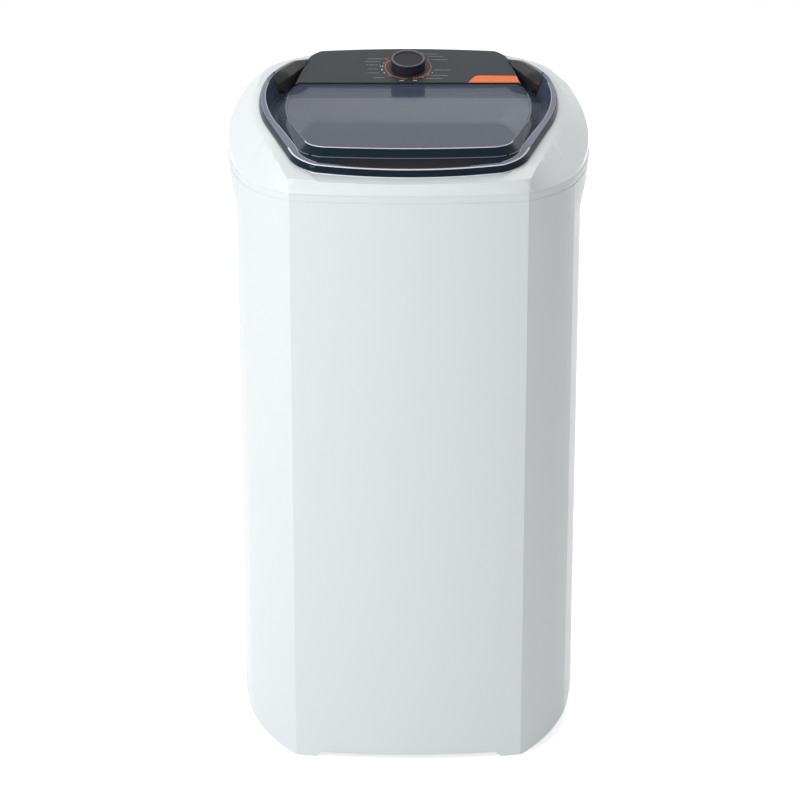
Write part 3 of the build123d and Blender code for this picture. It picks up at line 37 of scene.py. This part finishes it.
# Camera: pitch in degrees below the level, lens and sensor in millimetres, and how far it sees.
CAMERA_PLACE = (-0.0125, -4.0227, 1.8521)
CAMERA_PITCH = 19.0
CAMERA_LENS = 126.0
CAMERA_SENSOR = 36.0
CAMERA_REACH = 60.0

# Strength of the world as a lamp, and the floor's size, grey and glow.
WORLD_LIGHT = 0.30
FLOOR_SIZE = 40.0
FLOOR_GREY = 0.80
FLOOR_GLOW = 0.72

# Surfaces: how much finer the gloss varies than the colour, the depth of the grain, and a coat's roughness.
STREAK_SHARE = 4.5
GRAIN_DEPTH = 0.0006
COAT_ROUGHNESS = 0.08

# Floor of the deck's finger scoop: height over the origin, rise towards the back, and where it starts.
SCOOP_FLOOR = (0.9115, 0.126)
SCOOP_FLOOR_REACH = 0.0004
SCOOP_BACK_Y = -0.215
SCOOP_BACK_BLUR = 0.001
# Colour of the shade painted on the scoop's floor beneath the lid's lip.
SCOOP_PAINTED_SHADE = "c6ced8"
# The painted shade fades between these two distances from front to back, along the lip's curved edge.
SCOOP_FADE = (-0.270, -0.247)
LIP_CURVE = 0.93

# Sloping planes that carry the creases of the lid: height over the origin, and rise towards the back.
RIDGE_PLANE = (0.9230, 0.126)
FOOT_PLANE = (0.9048, 0.0167)
PLATEAU_PLANE = (0.9174, 0.0232)
RIDGE_REACH = 0.0008

# Where the painted highlight lines along the lid's creases start and stop, from front to back.
LINES_FRONT_Y = -0.300
CORNER_Y = -0.225
PLATEAU_END_Y = -0.175
CREST_END_Y = -0.168
LINES_BACK_Y = 0.100

# Search for creases: points this near are one, this near a plane is on it, and the least turn in degrees.
SAME_POINT = 1e-6
SAME_LINE_END = 2e-6
ON_PLANE = 0.00004
LEAST_CREASE = 1.0

# Least turn, in degrees, that stays a sharp edge on each smoothed shell.
SHARP_TURNS = {"top_deck": 40, "lid": 24, "console": 24, "timer_knob": 40}

# Sloping face that the control panel lies on, the panel, and the gap between the panel and its print.
PANEL_TILT = math.radians(18.0)
PANEL_FRONT_Y = 0.155
PANEL_FRONT_Z = 0.921
PANEL_THICK = 0.0012
PRINT_LIFT = 0.00006
DIAL_Y = 0.202

# Height of the knob's top over the face that the control panel lies on.
KNOB_HIGH = 0.0168
# Ring on the knob's rim: radius and height over the knob's top, from the outside of the rim to the dish.
KNOB_RING = (
    (0.02575, -0.00125), (0.02530, -0.00030), (0.02460, 0.00005),
    (0.02310, -0.00005), (0.02250, -0.00050), (0.02210, -0.00180),
)
KNOB_RING_STEPS = 72

# Orange arcs round the dial: start and stop in degrees, clockwise from the back.
ARC_RADIUS = 0.0352
ARC_WIDTH = 0.0009
ARC_STEPS = 20
ARCS = ((-64, -126), (-138, -177), (60, 121), (134, 156))
# Small orange rings beside the arcs: angle, distance from the dial's middle, and radius.
RING_WIDTH = 0.0007
RINGS = (
    (-132, 0.0370, 0.0026), (163, 0.0350, 0.0026), (127, 0.0370, 0.0026),
    (-54, 0.0420, 0.0017), (-58, 0.0350, 0.0017), (-72, 0.0388, 0.0013),
)

# White dots: angle and distance from the dial's middle. Bars: angle.
DOT_RADIUS = 0.0005
DOT_WIDTH = 0.0009
DOTS = ((54, 0.0385), (114.5, 0.0405), (144, 0.0376))
BAR_DISTANCE = 0.042
BAR_HALF = 0.003
BAR_WIDTH = 0.0012
BARS = (-166, 166)

# Plain numbers left of the dial, with their angles.
NUMBER_DISTANCE = 0.041
NUMBER_SIZE = 0.0062
NUMBERS = (("12", -87), ("8", -102), ("4", -116))

# Rows of dashes on both sides of the dial: place from front to back, inner end and outer end.
DASH_ROWS = (
    (0.2257, -0.038, -0.063), (0.2177, -0.044, -0.066), (0.2080, -0.047, -0.067),
    (0.1965, -0.048, -0.064), (0.1850, -0.045, -0.063), (0.1716, -0.036, -0.056),
    (0.2395, 0.022, 0.056), (0.2320, 0.030, 0.061), (0.2230, 0.036, 0.067),
    (0.1934, 0.040, 0.066), (0.1775, 0.036, 0.068), (0.1690, 0.028, 0.056),
)
DASH_LENGTHS = (0.0026, 0.0040, 0.0018)
DASH_COUNT = 6
DASH_GAP = 0.0007
DASH_WIDTH = 0.0012
LEADER_ROOM = 0.0040
LEADER_LENGTH = 0.0032
LEADER_WIDTH = 0.0004

# Plan of the orange tab in the panel's front right corner.
TAB_OUTLINE = (
    (0.0912, 0.1578), (0.0955, 0.1655), (0.1000, 0.1730), (0.1035, 0.1762), (0.1085, 0.1778),
    (0.1640, 0.1765), (0.1655, 0.1755), (0.1672, 0.1660), (0.1690, 0.1578),
)


def srgb(text):
    # Linear colour of a six-digit sRGB code.
    values = [int(text[i:i + 2], 16) / 255 for i in (0, 2, 4)]
    return tuple(v / 12.92 if v <= 0.04045 else ((v + 0.055) / 1.055) ** 2.4 for v in values) + (1.0,)


# In the functions that build nodes, owner is what holds them: a material or the world.

def add_node(owner, kind, **inputs):
    node = owner.node_tree.nodes.new(kind)
    for name, value in inputs.items():
        node.inputs[name].default_value = value
    return node


def connect(owner, source, target):
    owner.node_tree.links.new(source, target)


def calculate(owner, operation, first, second=None):
    # Result of a Math node; each value is a socket or a number.
    step = add_node(owner, "ShaderNodeMath")
    step.operation = operation
    for place, value in enumerate((first, second)):
        if isinstance(value, (int, float)):
            step.inputs[place].default_value = value
        elif value is not None:
            connect(owner, value, step.inputs[place])
    return step.outputs[0]


def greatest(owner, values):
    total = values[0]
    for value in values[1:]:
        total = calculate(owner, "MAXIMUM", total, value)
    return total


def spread(owner, value, low, high, start=0.0, stop=1.0):
    # Maps start to stop onto low to high in a smooth step, which stays level past both ends.
    ranged = add_node(owner, "ShaderNodeMapRange")
    ranged.interpolation_type = "SMOOTHSTEP"
    ranged.inputs["From Min"].default_value = start
    ranged.inputs["From Max"].default_value = stop
    ranged.inputs["To Min"].default_value = low
    ranged.inputs["To Max"].default_value = high
    connect(owner, value, ranged.inputs["Value"])
    return ranged.outputs["Result"]


def blend_colours(owner, first, second, factor):
    # Each colour is a socket or a six-digit code.
    mix = add_node(owner, "ShaderNodeMix")
    mix.data_type = "RGBA"
    for name, colour in (("A", first), ("B", second)):
        if isinstance(colour, str):
            mix.inputs[name].default_value = srgb(colour)
        else:
            connect(owner, colour, mix.inputs[name])
    connect(owner, factor, mix.inputs["Factor"])
    return mix.outputs["Result"]


def noise(owner, scale, detail=4.0):
    coords = add_node(owner, "ShaderNodeTexCoord")
    texture = add_node(owner, "ShaderNodeTexNoise", Scale=scale, Detail=detail)
    connect(owner, coords.outputs["Object"], texture.inputs["Vector"])
    return texture.outputs["Fac"]


def shader_of(material):
    return material.node_tree.nodes["Principled BSDF"]


def colour_of(material):
    # Socket that gives the surface's colour so far.
    return shader_of(material).inputs["Base Color"].links[0].from_socket


def surface(name, colour, shade, rough, metallic=0.0, mottle=6.0, grain=900.0, bump=0.02,
            coat=0.0, specular=0.5):
    # Moulded or metal surface: two near colours in soft patches, uneven gloss and a fine grain.
    material = bpy.data.materials.new(name)
    material.use_nodes = True
    shader = shader_of(material)
    shader.inputs["Metallic"].default_value = metallic
    shader.inputs["Coat Weight"].default_value = coat
    shader.inputs["Coat Roughness"].default_value = COAT_ROUGHNESS
    shader.inputs["Specular IOR Level"].default_value = specular
    patches = blend_colours(material, colour, shade, noise(material, mottle))
    connect(material, patches, shader.inputs["Base Color"])
    streaks = noise(material, mottle * STREAK_SHARE, detail=6.0)
    connect(material, spread(material, streaks, *rough), shader.inputs["Roughness"])
    relief = add_node(material, "ShaderNodeBump", Strength=bump, Distance=GRAIN_DEPTH)
    connect(material, noise(material, grain, detail=3.0), relief.inputs["Height"])
    connect(material, relief.outputs["Normal"], shader.inputs["Normal"])
    return material


def components(material, kind):
    # X, Y and Z of the surface's own normal, or of its place on the object.
    coords = add_node(material, "ShaderNodeTexCoord")
    split = add_node(material, "ShaderNodeSeparateXYZ")
    connect(material, coords.outputs[kind], split.inputs["Vector"])
    return [split.outputs[axis] for axis in ("X", "Y", "Z")]


def normal_sizes(material):
    # The three components of the surface's own normal, without their signs.
    return [calculate(material, "ABSOLUTE", part) for part in components(material, "Normal")]


def facing_inward(material):
    # 1 where a surface faces the middle of the width, and 0 where it faces outwards or up.
    side = calculate(material, "SIGN", components(material, "Object")[0])
    outward = calculate(material, "MULTIPLY", side, components(material, "Normal")[0])
    return spread(material, outward, 1.0, 0.0, start=-0.6, stop=-0.2)


def on_plane(material, plane, reach):
    # 1 where the surface lies on a plane that rises towards the back, and 0 further off it than reach.
    height, slope = plane
    place_y, place_z = components(material, "Object")[1:]
    rise = calculate(material, "MULTIPLY", place_y, slope)
    levelled = calculate(material, "SUBTRACT", place_z, rise)
    distance = calculate(material, "ABSOLUTE", calculate(material, "SUBTRACT", levelled, height))
    return spread(material, distance, 1.0, 0.0, start=reach * 0.4, stop=reach)


def paint_scoop_shade(material):
    # Painted shade: a cooler, darker tint on the floor of the deck's finger scoop where the lid's lip
    # shades it, strongest beside the lip.
    place_x, place_y = components(material, "Object")[:2]
    in_front = spread(material, place_y, 1.0, 0.0,
                      start=SCOOP_BACK_Y - SCOOP_BACK_BLUR, stop=SCOOP_BACK_Y + SCOOP_BACK_BLUR)
    on_floor = calculate(material, "MULTIPLY", on_plane(material, SCOOP_FLOOR, SCOOP_FLOOR_REACH), in_front)
    squared = calculate(material, "MULTIPLY", place_x, place_x)
    curve = calculate(material, "MULTIPLY", squared, LIP_CURVE)
    past_curve = calculate(material, "SUBTRACT", place_y, curve)
    near_lip = spread(material, past_curve, 0.0, 1.0, *SCOOP_FADE)
    share = calculate(material, "MULTIPLY", on_floor, near_lip)
    shaded = blend_colours(material, colour_of(material), SCOOP_PAINTED_SHADE, share)
    connect(material, shaded, shader_of(material).inputs["Base Color"])


def smoked_plastic(name):
    # Tinted clear plastic: a level window, a ridge coloured paler as a painted sheen, and walls that are
    # nearly opaque and coloured dark as painted shade and reflection.
    material = surface(name, "5f677e", "636b82", (0.03, 0.06), mottle=3.0, grain=120.0, bump=0.0004,
                       specular=0.08)
    shader = shader_of(material)
    along, upward = normal_sizes(material)[1:]
    # Walls face the front or back, stand upright or slope; their darker colour is painted shade and
    # reflection, and they hide more of what lies behind. Those that face inwards get less of both.
    facing_front = spread(material, along, 0.0, 1.0, start=0.12, stop=0.34)
    standing = spread(material, upward, 1.0, 0.0, start=0.35, stop=0.60)
    sloping = spread(material, upward, 0.8, 0.0, start=0.70, stop=0.86)
    walls = greatest(material, (facing_front, standing, sloping))
    wall_shade_and_density = calculate(material, "MULTIPLY", walls, spread(material, facing_inward(material), 1.0, 0.3))
    gentle = spread(material, upward, 0.0, 1.0, start=0.78, stop=0.86)
    # Painted shade and reflection: dark navy on upright walls, dark purple on gentler slopes.
    wall_shade_colour = blend_colours(material, "15232e", "232129", gentle)
    # The ridge's paler colour is a painted sheen.
    leaning = spread(material, along, 0.0, 1.0, start=0.06, stop=0.10)
    ridge = calculate(material, "MULTIPLY", on_plane(material, RIDGE_PLANE, RIDGE_REACH), leaning)
    level = blend_colours(material, colour_of(material), "8f93a6", ridge)
    connect(material, blend_colours(material, level, wall_shade_colour, wall_shade_and_density), shader.inputs["Base Color"])
    # How much of what lies behind is hidden: least in the window, more on the ridge, most in the walls.
    density = add_node(material, "ShaderNodeMix", B=0.985)
    connect(material, spread(material, ridge, 0.45, 0.68), density.inputs["A"])
    connect(material, wall_shade_and_density, density.inputs["Factor"])
    connect(material, density.outputs["Result"], shader.inputs["Alpha"])
    shader.inputs["IOR"].default_value = 1.5
    return material


def print_ink(name, colour, shade):
    return surface(name, colour, shade, (0.35, 0.50), mottle=60.0, grain=1500.0, bump=0.05)


def dress(material, *nodes):
    # Gives CAD nodes their finish.
    for node in nodes:
        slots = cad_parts[node].data.materials
        slots.clear()
        slots.append(material)


def dress_outside():
    cabinet = surface("cabinet_shell", "e1e6e8", "dfe4e6", (0.30, 0.36), mottle=2.0, grain=1400.0,
                      bump=0.008)
    deck = surface("deck_shell", "e8edef", "e6ebed", (0.20, 0.26), mottle=2.0, grain=1400.0, bump=0.006)
    paint_scoop_shade(deck)
    console = surface("console_black", "17181a", "1c1d20", (0.16, 0.26), mottle=9.0, grain=600.0,
                      bump=0.02, coat=0.4)
    panel = surface("panel_film", "2a3033", "2d3336", (0.34, 0.42), mottle=40.0, grain=2200.0,
                    bump=0.05, specular=0.3)
    knob = surface("knob_black", "2a2a30", "2e2e34", (0.30, 0.38), mottle=30.0, grain=2500.0,
                   bump=0.06, specular=0.15)
    cover = surface("cover_grey", "c9cdcf", "c2c7c9", (0.34, 0.44), mottle=9.0, grain=700.0, bump=0.06)
    base = surface("base_grey", "4c5053", "565a5d", (0.50, 0.62), mottle=9.0, grain=500.0, bump=0.08)
    dress(cabinet, "cabinet")
    dress(deck, "top_deck")
    dress(console, "console")
    dress(panel, "control_panel")
    dress(knob, "timer_knob")
    dress(cover, "rear_cover")
    dress(base, "base_tray", "drain_outlet")
    dress(smoked_plastic("smoked_lid"), "lid")


def dress_inside():
    tub = surface("tub_inside", "d5dadc", "cbd2d5", (0.25, 0.36), mottle=5.0, grain=500.0, bump=0.03)
    impeller = surface("impeller_blue", "8fb0cc", "86a8c6", (0.24, 0.34), mottle=9.0, grain=600.0,
                       bump=0.04)
    lint_filter = surface("filter_blue", "6f93b4", "658aac", (0.32, 0.42), mottle=20.0, bump=0.05)
    cream = surface("timer_cream", "dcd8cb", "d0ccbe", (0.40, 0.50), mottle=30.0, bump=0.05)
    motor = surface("motor_black", "26282a", "303234", (0.30, 0.45), mottle=20.0, grain=600.0, bump=0.12)
    rubber = surface("black_rubber", "111112", "1a1a1b", (0.60, 0.75), mottle=20.0, bump=0.12)
    hose = surface("grey_hose", "3b3e41", "45484b", (0.50, 0.62), mottle=20.0, bump=0.1)
    dress(tub, "wash_tub", "tub_ring")
    dress(impeller, "impeller")
    dress(lint_filter, "lint_filter")
    dress(cream, "timer", "run_capacitor")
    dress(motor, "motor")
    dress(rubber, "foot_pads", "shaft_seal", "drive_belt", "motor_mounts", "cord_gland")
    dress(hose, "drain_hose")


def dress_metal():
    zinc = surface("zinc", "b5b8ba", "a0a4a6", (0.24, 0.40), metallic=1.0, mottle=90.0, grain=1500.0,
                   bump=0.05)
    steel = surface("ground_steel", "b9bcbe", "a8abad", (0.18, 0.32), metallic=1.0, mottle=60.0,
                    grain=1200.0, bump=0.05)
    cast = surface("cast_alloy", "9da1a4", "8c9093", (0.42, 0.60), metallic=1.0, mottle=40.0,
                   grain=500.0, bump=0.25)
    bronze = surface("bush_bronze", "9a7440", "80602f", (0.30, 0.45), metallic=1.0, mottle=60.0,
                     grain=1200.0, bump=0.1)
    dress(zinc, "base_screws", "deck_screws", "console_screws", "tub_screws", "cover_screws",
          "pulley_nut", "motor_bolts", "capacitor_clip", "hose_clips", "motor_bracket")
    dress(steel, "lid_hinge_pins", "timer_shaft", "impeller_shaft", "motor_shaft", "motor_pulley",
          "hub_bolts", "impeller_screw")
    dress(cast, "bearing_housing", "large_pulley")
    dress(bronze, "shaft_bushes")


def shading_group(name, least_angle):
    # Shades faces that meet gently as one surface and keeps edges that turn by more than least_angle.
    group = bpy.data.node_groups.new(name, "GeometryNodeTree")
    group.interface.new_socket("Geometry", in_out="INPUT", socket_type="NodeSocketGeometry")
    group.interface.new_socket("Geometry", in_out="OUTPUT", socket_type="NodeSocketGeometry")
    start = group.nodes.new("NodeGroupInput")
    plain = group.nodes.new("GeometryNodeRemoveAttribute")
    plain.inputs["Name"].default_value = "custom_normal"
    weld = group.nodes.new("GeometryNodeMergeByDistance")
    weld.inputs["Distance"].default_value = SAME_POINT
    faces = group.nodes.new("GeometryNodeSetShadeSmooth")
    turn = group.nodes.new("GeometryNodeInputMeshEdgeAngle")
    sharp = group.nodes.new("FunctionNodeCompare")
    sharp.inputs["B"].default_value = math.radians(least_angle)
    edges = group.nodes.new("GeometryNodeSetShadeSmooth")
    edges.domain = "EDGE"
    edges.inputs["Shade Smooth"].default_value = False
    stop = group.nodes.new("NodeGroupOutput")
    join = group.links.new
    join(start.outputs[0], plain.inputs["Geometry"])
    join(plain.outputs["Geometry"], weld.inputs["Geometry"])
    join(weld.outputs["Geometry"], faces.inputs["Geometry"])
    join(faces.outputs["Geometry"], edges.inputs["Geometry"])
    join(turn.outputs["Unsigned Angle"], sharp.inputs["A"])
    join(sharp.outputs["Result"], edges.inputs["Selection"])
    join(edges.outputs["Geometry"], stop.inputs[0])
    return group


def smooth_shells():
    for node, least_angle in SHARP_TURNS.items():
        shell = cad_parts[node]
        shell.modifiers.new("shading", "NODES").node_group = shading_group(f"{node}_shading", least_angle)
        weighted = shell.modifiers.new("weighted", "WEIGHTED_NORMAL")
        weighted.keep_sharp = True


def on_outer_edge(edge):
    # True for an outward crease whose faces look away from the middle of the object.
    middle = (edge.verts[0].co + edge.verts[1].co) / 2
    push = edge.link_faces[0].normal + edge.link_faces[1].normal
    return edge.is_convex and push.x * middle.x + push.y * middle.y > 0


def crease_pairs(node, plane, outer):
    # Ends of the node's creases on a sloping plane: outer ones, inner ones, or all where outer is None.
    height, slope = plane
    work = bmesh.new()
    work.from_mesh(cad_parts[node].data)
    bmesh.ops.remove_doubles(work, verts=work.verts, dist=SAME_POINT)
    pairs = []
    for edge in work.edges:
        level = all(abs(v.co.z - height - slope * v.co.y) < ON_PLANE for v in edge.verts)
        if not level or not edge.is_manifold or edge.calc_face_angle() < math.radians(LEAST_CREASE):
            continue
        if outer is None or outer == on_outer_edge(edge):
            pairs.append(tuple(v.co.copy() for v in edge.verts))
    work.free()
    return pairs


def clipped(pair, first_y, last_y):
    # The part of a straight line that lies between two distances from front to back.
    low, high = sorted(pair, key=lambda point: point.y)
    if high.y <= first_y or low.y >= last_y:
        return None
    run = max(high.y - low.y, 1e-9)
    start = low.lerp(high, max(0.0, (first_y - low.y) / run))
    stop = low.lerp(high, min(1.0, (last_y - low.y) / run))
    return start, stop


def joined_lines(name, points):
    # Mesh of a straight line between each two points, joined where the lines' ends meet.
    mesh = bpy.data.meshes.new(name)
    mesh.from_pydata(points, [(i, i + 1) for i in range(0, len(points), 2)], [])
    work = bmesh.new()
    work.from_mesh(mesh)
    bmesh.ops.remove_doubles(work, verts=work.verts, dist=SAME_LINE_END)
    work.to_mesh(mesh)
    work.free()
    return mesh


def add_to_scene(thing):
    bpy.context.scene.collection.objects.link(thing)


def crease_line(name, plane, outer, stretch, width, sink, material):
    # Rounded bead along the lid's creases, standing in for a moulded edge; its pale colour is a painted
    # highlight.
    points = []
    for pair in crease_pairs("lid", plane, outer):
        part = clipped(pair, *stretch)
        if part:
            points += [(p.x, p.y, p.z - sink) for p in part]
    piece = bpy.data.objects.new(name, joined_lines(name, points))
    add_to_scene(piece)
    bpy.ops.object.select_all(action="DESELECT")
    piece.select_set(True)
    bpy.context.view_layer.objects.active = piece
    bpy.ops.object.convert(target="CURVE")
    piece.data.bevel_depth = width / 2
    piece.data.bevel_resolution = 2
    piece.data.materials.append(material)
    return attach(piece, "lid_body")


def make_lid_highlight_lines():
    finish = {"rough": (0.12, 0.20), "mottle": 20.0}
    # Pale colours of the crease beads are painted highlights, brightest on the front crest and the
    # plateau's front edge.
    bright = surface("bright_painted_highlight", "eceef4", "e4e7ee", **finish)
    soft = surface("soft_painted_highlight", "a9adba", "a2a6b3", **finish)
    dim = surface("dim_painted_highlight", "787e8b", "727885", **finish)
    in_front = (LINES_FRONT_Y, PLATEAU_END_Y)
    behind = (PLATEAU_END_Y, LINES_BACK_Y)
    # After the stretch come the line's width and how far it is sunk into the crease.
    crease_line("lid_crest_line", RIDGE_PLANE, True, (LINES_FRONT_Y, CREST_END_Y), 0.0024, 0.0007, bright)
    crease_line("lid_side_line", RIDGE_PLANE, True, (CREST_END_Y, LINES_BACK_Y), 0.0012, 0.0003, dim)
    crease_line("lid_inner_line", RIDGE_PLANE, False, (CORNER_Y, LINES_BACK_Y), 0.0017, 0.0005, soft)
    crease_line("lid_foot_line", FOOT_PLANE, None, in_front, 0.0011, 0.0, dim)
    crease_line("lid_plateau_line", PLATEAU_PLANE, True, in_front, 0.0015, 0.0004, bright)
    crease_line("lid_plateau_side_line", PLATEAU_PLANE, True, behind, 0.0009, 0.0003, dim)


def panel_place(x, y, lift=0.0):
    # Point on the control panel's face above plan position (x, y).
    z = PANEL_FRONT_Z + (y - PANEL_FRONT_Y) * math.tan(PANEL_TILT)
    normal = Vector((0, -math.sin(PANEL_TILT), math.cos(PANEL_TILT)))
    return Vector((x, y, z)) + normal * (PANEL_THICK + PRINT_LIFT + lift)


def mesh_piece(name, points, faces, material, body="machine"):
    mesh = bpy.data.meshes.new(name)
    mesh.from_pydata([tuple(p) for p in points], [], faces)
    mesh.update()
    mesh.materials.append(material)
    piece = bpy.data.objects.new(name, mesh)
    add_to_scene(piece)
    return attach(piece, body)


def turned_ring(name, profile, steps, material, body):
    # Ring turned about the dial's axis from a closed profile of radius and height over the panel.
    verts, faces = [], []
    uphill = Vector((0, math.cos(PANEL_TILT), math.sin(PANEL_TILT)))
    count = len(profile)
    for step in range(steps):
        turn = 2 * math.pi * step / steps
        outward = Vector((math.cos(turn), 0, 0)) + uphill * math.sin(turn)
        verts += [panel_place(0, DIAL_Y, height) + outward * radius for radius, height in profile]
    for step in range(steps):
        start = step * count
        after = (step + 1) % steps * count
        for index in range(count):
            other = (index + 1) % count
            faces.append((start + index, after + index, after + other, start + other))
    piece = mesh_piece(name, verts, faces, material, body)
    piece.data.shade_smooth()
    return piece


def make_knob_ring():
    # The ring is a lighter grey than the knob: a painted reflection on its bevel.
    edge = surface("knob_edge_painted_reflection", "535357", "5b5b5f", (0.28, 0.36), mottle=40.0, grain=1800.0, bump=0.04)
    top = KNOB_HIGH - PANEL_THICK - PRINT_LIFT
    profile = [(radius, top + height) for radius, height in KNOB_RING]
    turned_ring("knob_bevel", profile, KNOB_RING_STEPS, edge, "timer_spindle")


def dial_spot(angle, distance):
    # Plan point at an angle in degrees, clockwise from the back, and a distance from the dial's middle.
    turn = math.radians(angle)
    return distance * math.sin(turn), DIAL_Y + distance * math.cos(turn) * math.cos(PANEL_TILT)


def arc_points(radius, start, stop, steps):
    return [dial_spot(start + (stop - start) * step / steps, radius) for step in range(steps + 1)]


def small_ring(angle, distance, radius, steps=14):
    # Closed circle of plan points about a spot beside the dial.
    x, y = dial_spot(angle, distance)
    turns = [2 * math.pi * step / steps for step in range(steps + 1)]
    return [(x + radius * math.cos(turn), y + radius * math.sin(turn) * math.cos(PANEL_TILT))
            for turn in turns]


def printed_strip(points, width):
    # Vertices and faces of a flat line along points on the panel plan.
    low, high = [], []
    for index, point in enumerate(points):
        before = Vector(points[max(index - 1, 0)])
        after = Vector(points[min(index + 1, len(points) - 1)])
        along = (after - before).normalized()
        side = Vector((-along.y, along.x)) * width / 2
        low.append(Vector(point) - side)
        high.append(Vector(point) + side)
    verts = [panel_place(p.x, p.y) for p in low + high]
    count = len(points)
    faces = [(i, i + 1, count + i + 1, count + i) for i in range(count - 1)]
    return verts, faces


def printed_lines(name, lines, material):
    # One flat piece of several lines, each given by its points and its width.
    verts, faces = [], []
    for points, width in lines:
        more, quads = printed_strip(points, width)
        faces += [tuple(i + len(verts) for i in quad) for quad in quads]
        verts += more
    return mesh_piece(name, verts, faces, material)


def make_arcs(ink):
    lines = [(arc_points(ARC_RADIUS, start, stop, ARC_STEPS), ARC_WIDTH) for start, stop in ARCS]
    lines += [(small_ring(angle, distance, radius), RING_WIDTH) for angle, distance, radius in RINGS]
    printed_lines("dial_arcs", lines, ink)


def make_dots(ink):
    lines = [(small_ring(angle, distance, DOT_RADIUS), DOT_WIDTH) for angle, distance in DOTS]
    for angle in BARS:
        x, y = dial_spot(angle, BAR_DISTANCE)
        lines.append(([(x - BAR_HALF, y), (x + BAR_HALF, y)], BAR_WIDTH))
    printed_lines("dial_dots", lines, ink)


def dial_number(text, angle, ink):
    name = f"dial_number_{text}"
    curve = bpy.data.curves.new(name, "FONT")
    curve.body = text
    curve.size = NUMBER_SIZE
    curve.align_x = "CENTER"
    curve.align_y = "CENTER"
    curve.resolution_u = 3
    curve.materials.append(ink)
    piece = bpy.data.objects.new(name, curve)
    piece.location = panel_place(*dial_spot(angle, NUMBER_DISTANCE))
    piece.rotation_euler = (PANEL_TILT, 0, 0)
    add_to_scene(piece)
    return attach(piece, "machine")


def dash_row(y, inner, outer):
    # Short and long dashes in a row, up to its outer end.
    dashes = []
    step = math.copysign(1, outer - inner)
    place = inner + step * LEADER_ROOM
    for index in range(DASH_COUNT):
        length = DASH_LENGTHS[index % len(DASH_LENGTHS)]
        if abs(place + step * length) > abs(outer):
            break
        dashes.append(([(place, y), (place + step * length, y)], DASH_WIDTH))
        place += step * (length + DASH_GAP)
    return dashes


def make_dash_rows(dash_ink, leader_ink):
    dashes, leaders = [], []
    for y, inner, outer in DASH_ROWS:
        dashes += dash_row(y, inner, outer)
        leader_end = inner + math.copysign(LEADER_LENGTH, outer)
        leaders.append(([(inner, y), (leader_end, y)], LEADER_WIDTH))
    printed_lines("dial_labels", dashes, dash_ink)
    printed_lines("dial_leaders", leaders, leader_ink)


def make_corner_tab(ink):
    verts = [panel_place(x, y) for x, y in TAB_OUTLINE]
    mesh_piece("corner_tab", verts, [tuple(range(len(verts)))], ink)


def make_dial_print():
    orange = print_ink("orange_ink", "f27b3a", "ee7735")
    white = print_ink("white_ink", "d9dddd", "cfd3d4")
    grey = print_ink("label_ink", "8d9294", "868b8d")
    make_arcs(orange)
    make_dots(white)
    for text, angle in NUMBERS:
        dial_number(text, angle, white)
    make_dash_rows(grey, white)
    make_corner_tab(orange)


def seen_ray(owner):
    # 1 for rays from the camera, in a reflection or through glass, and 0 for light on the object.
    path = add_node(owner, "ShaderNodeLightPath")
    kinds = ("Is Camera Ray", "Is Glossy Ray", "Is Transmission Ray")
    return greatest(owner, [path.outputs[kind] for kind in kinds])


def floor_white():
    # Diffuse white that keeps the shadow, with a glow that only seen rays meet.
    material = bpy.data.materials.new("floor_white")
    material.use_nodes = True
    material.node_tree.nodes.clear()
    diffuse = add_node(material, "ShaderNodeBsdfDiffuse", Color=(FLOOR_GREY, FLOOR_GREY, FLOOR_GREY, 1))
    glow = add_node(material, "ShaderNodeEmission", Color=(1, 1, 1, 1))
    strength = calculate(material, "MULTIPLY", seen_ray(material), FLOOR_GLOW)
    connect(material, strength, glow.inputs["Strength"])
    both = add_node(material, "ShaderNodeAddShader")
    connect(material, diffuse.outputs[0], both.inputs[0])
    connect(material, glow.outputs[0], both.inputs[1])
    output = add_node(material, "ShaderNodeOutputMaterial")
    connect(material, both.outputs[0], output.inputs["Surface"])
    return material


def make_floor():
    bpy.ops.mesh.primitive_plane_add(size=FLOOR_SIZE)
    floor = bpy.context.object
    floor.name = "floor"
    floor.data.materials.append(floor_white())


def make_world():
    world = bpy.data.worlds.new("studio")
    bpy.context.scene.world = world
    world.use_nodes = True
    background = world.node_tree.nodes["Background"]
    background.inputs["Color"].default_value = (1, 1, 1, 1)
    level = add_node(world, "ShaderNodeMapRange")
    level.inputs["To Min"].default_value = WORLD_LIGHT
    level.inputs["To Max"].default_value = 1.0
    connect(world, seen_ray(world), level.inputs["Value"])
    connect(world, level.outputs["Result"], background.inputs["Strength"])


def area_light(name, place, aim, size, power, mirrored=True):
    # Lamp in watts. One that isn't mirrored shows in no reflection.
    data = bpy.data.lights.new(name, "AREA")
    data.shape = "RECTANGLE"
    data.size, data.size_y = size
    data.energy = power
    lamp = bpy.data.objects.new(name, data)
    lamp.location = place
    lamp.rotation_euler = (Vector(aim) - Vector(place)).to_track_quat("-Z", "Y").to_euler()
    lamp.visible_glossy = mirrored
    add_to_scene(lamp)


def make_lights():
    area_light("key", (-3.3, -1.9, 2.4), aim=(0, 0, 0.6), size=(2.0, 2.4), power=98)
    area_light("front", (0.0, -5.0, 1.3), aim=(0, 0, 0.5), size=(2.4, 2.4), power=58, mirrored=False)
    area_light("top", (0.0, 0.6, 3.4), aim=(0, 0, 0.9), size=(2.4, 1.4), power=25, mirrored=False)
    area_light("rear", (2.0, 4.3, 1.3), aim=(0, 0, 0.5), size=(2.4, 2.4), power=55, mirrored=False)


def make_camera():
    data = bpy.data.cameras.new("camera")
    data.lens = CAMERA_LENS
    data.sensor_width = CAMERA_SENSOR
    data.clip_end = CAMERA_REACH
    camera = bpy.data.objects.new("camera", data)
    camera.location = CAMERA_PLACE
    camera.rotation_euler = (math.radians(90 - CAMERA_PITCH), 0, 0)
    add_to_scene(camera)
    bpy.context.scene.camera = camera


dress_outside()
dress_inside()
dress_metal()
smooth_shells()
make_lid_highlight_lines()
make_knob_ring()
make_dial_print()
make_floor()
make_world()
make_lights()
make_camera()
bpy.context.scene.view_settings.view_transform = "Standard"
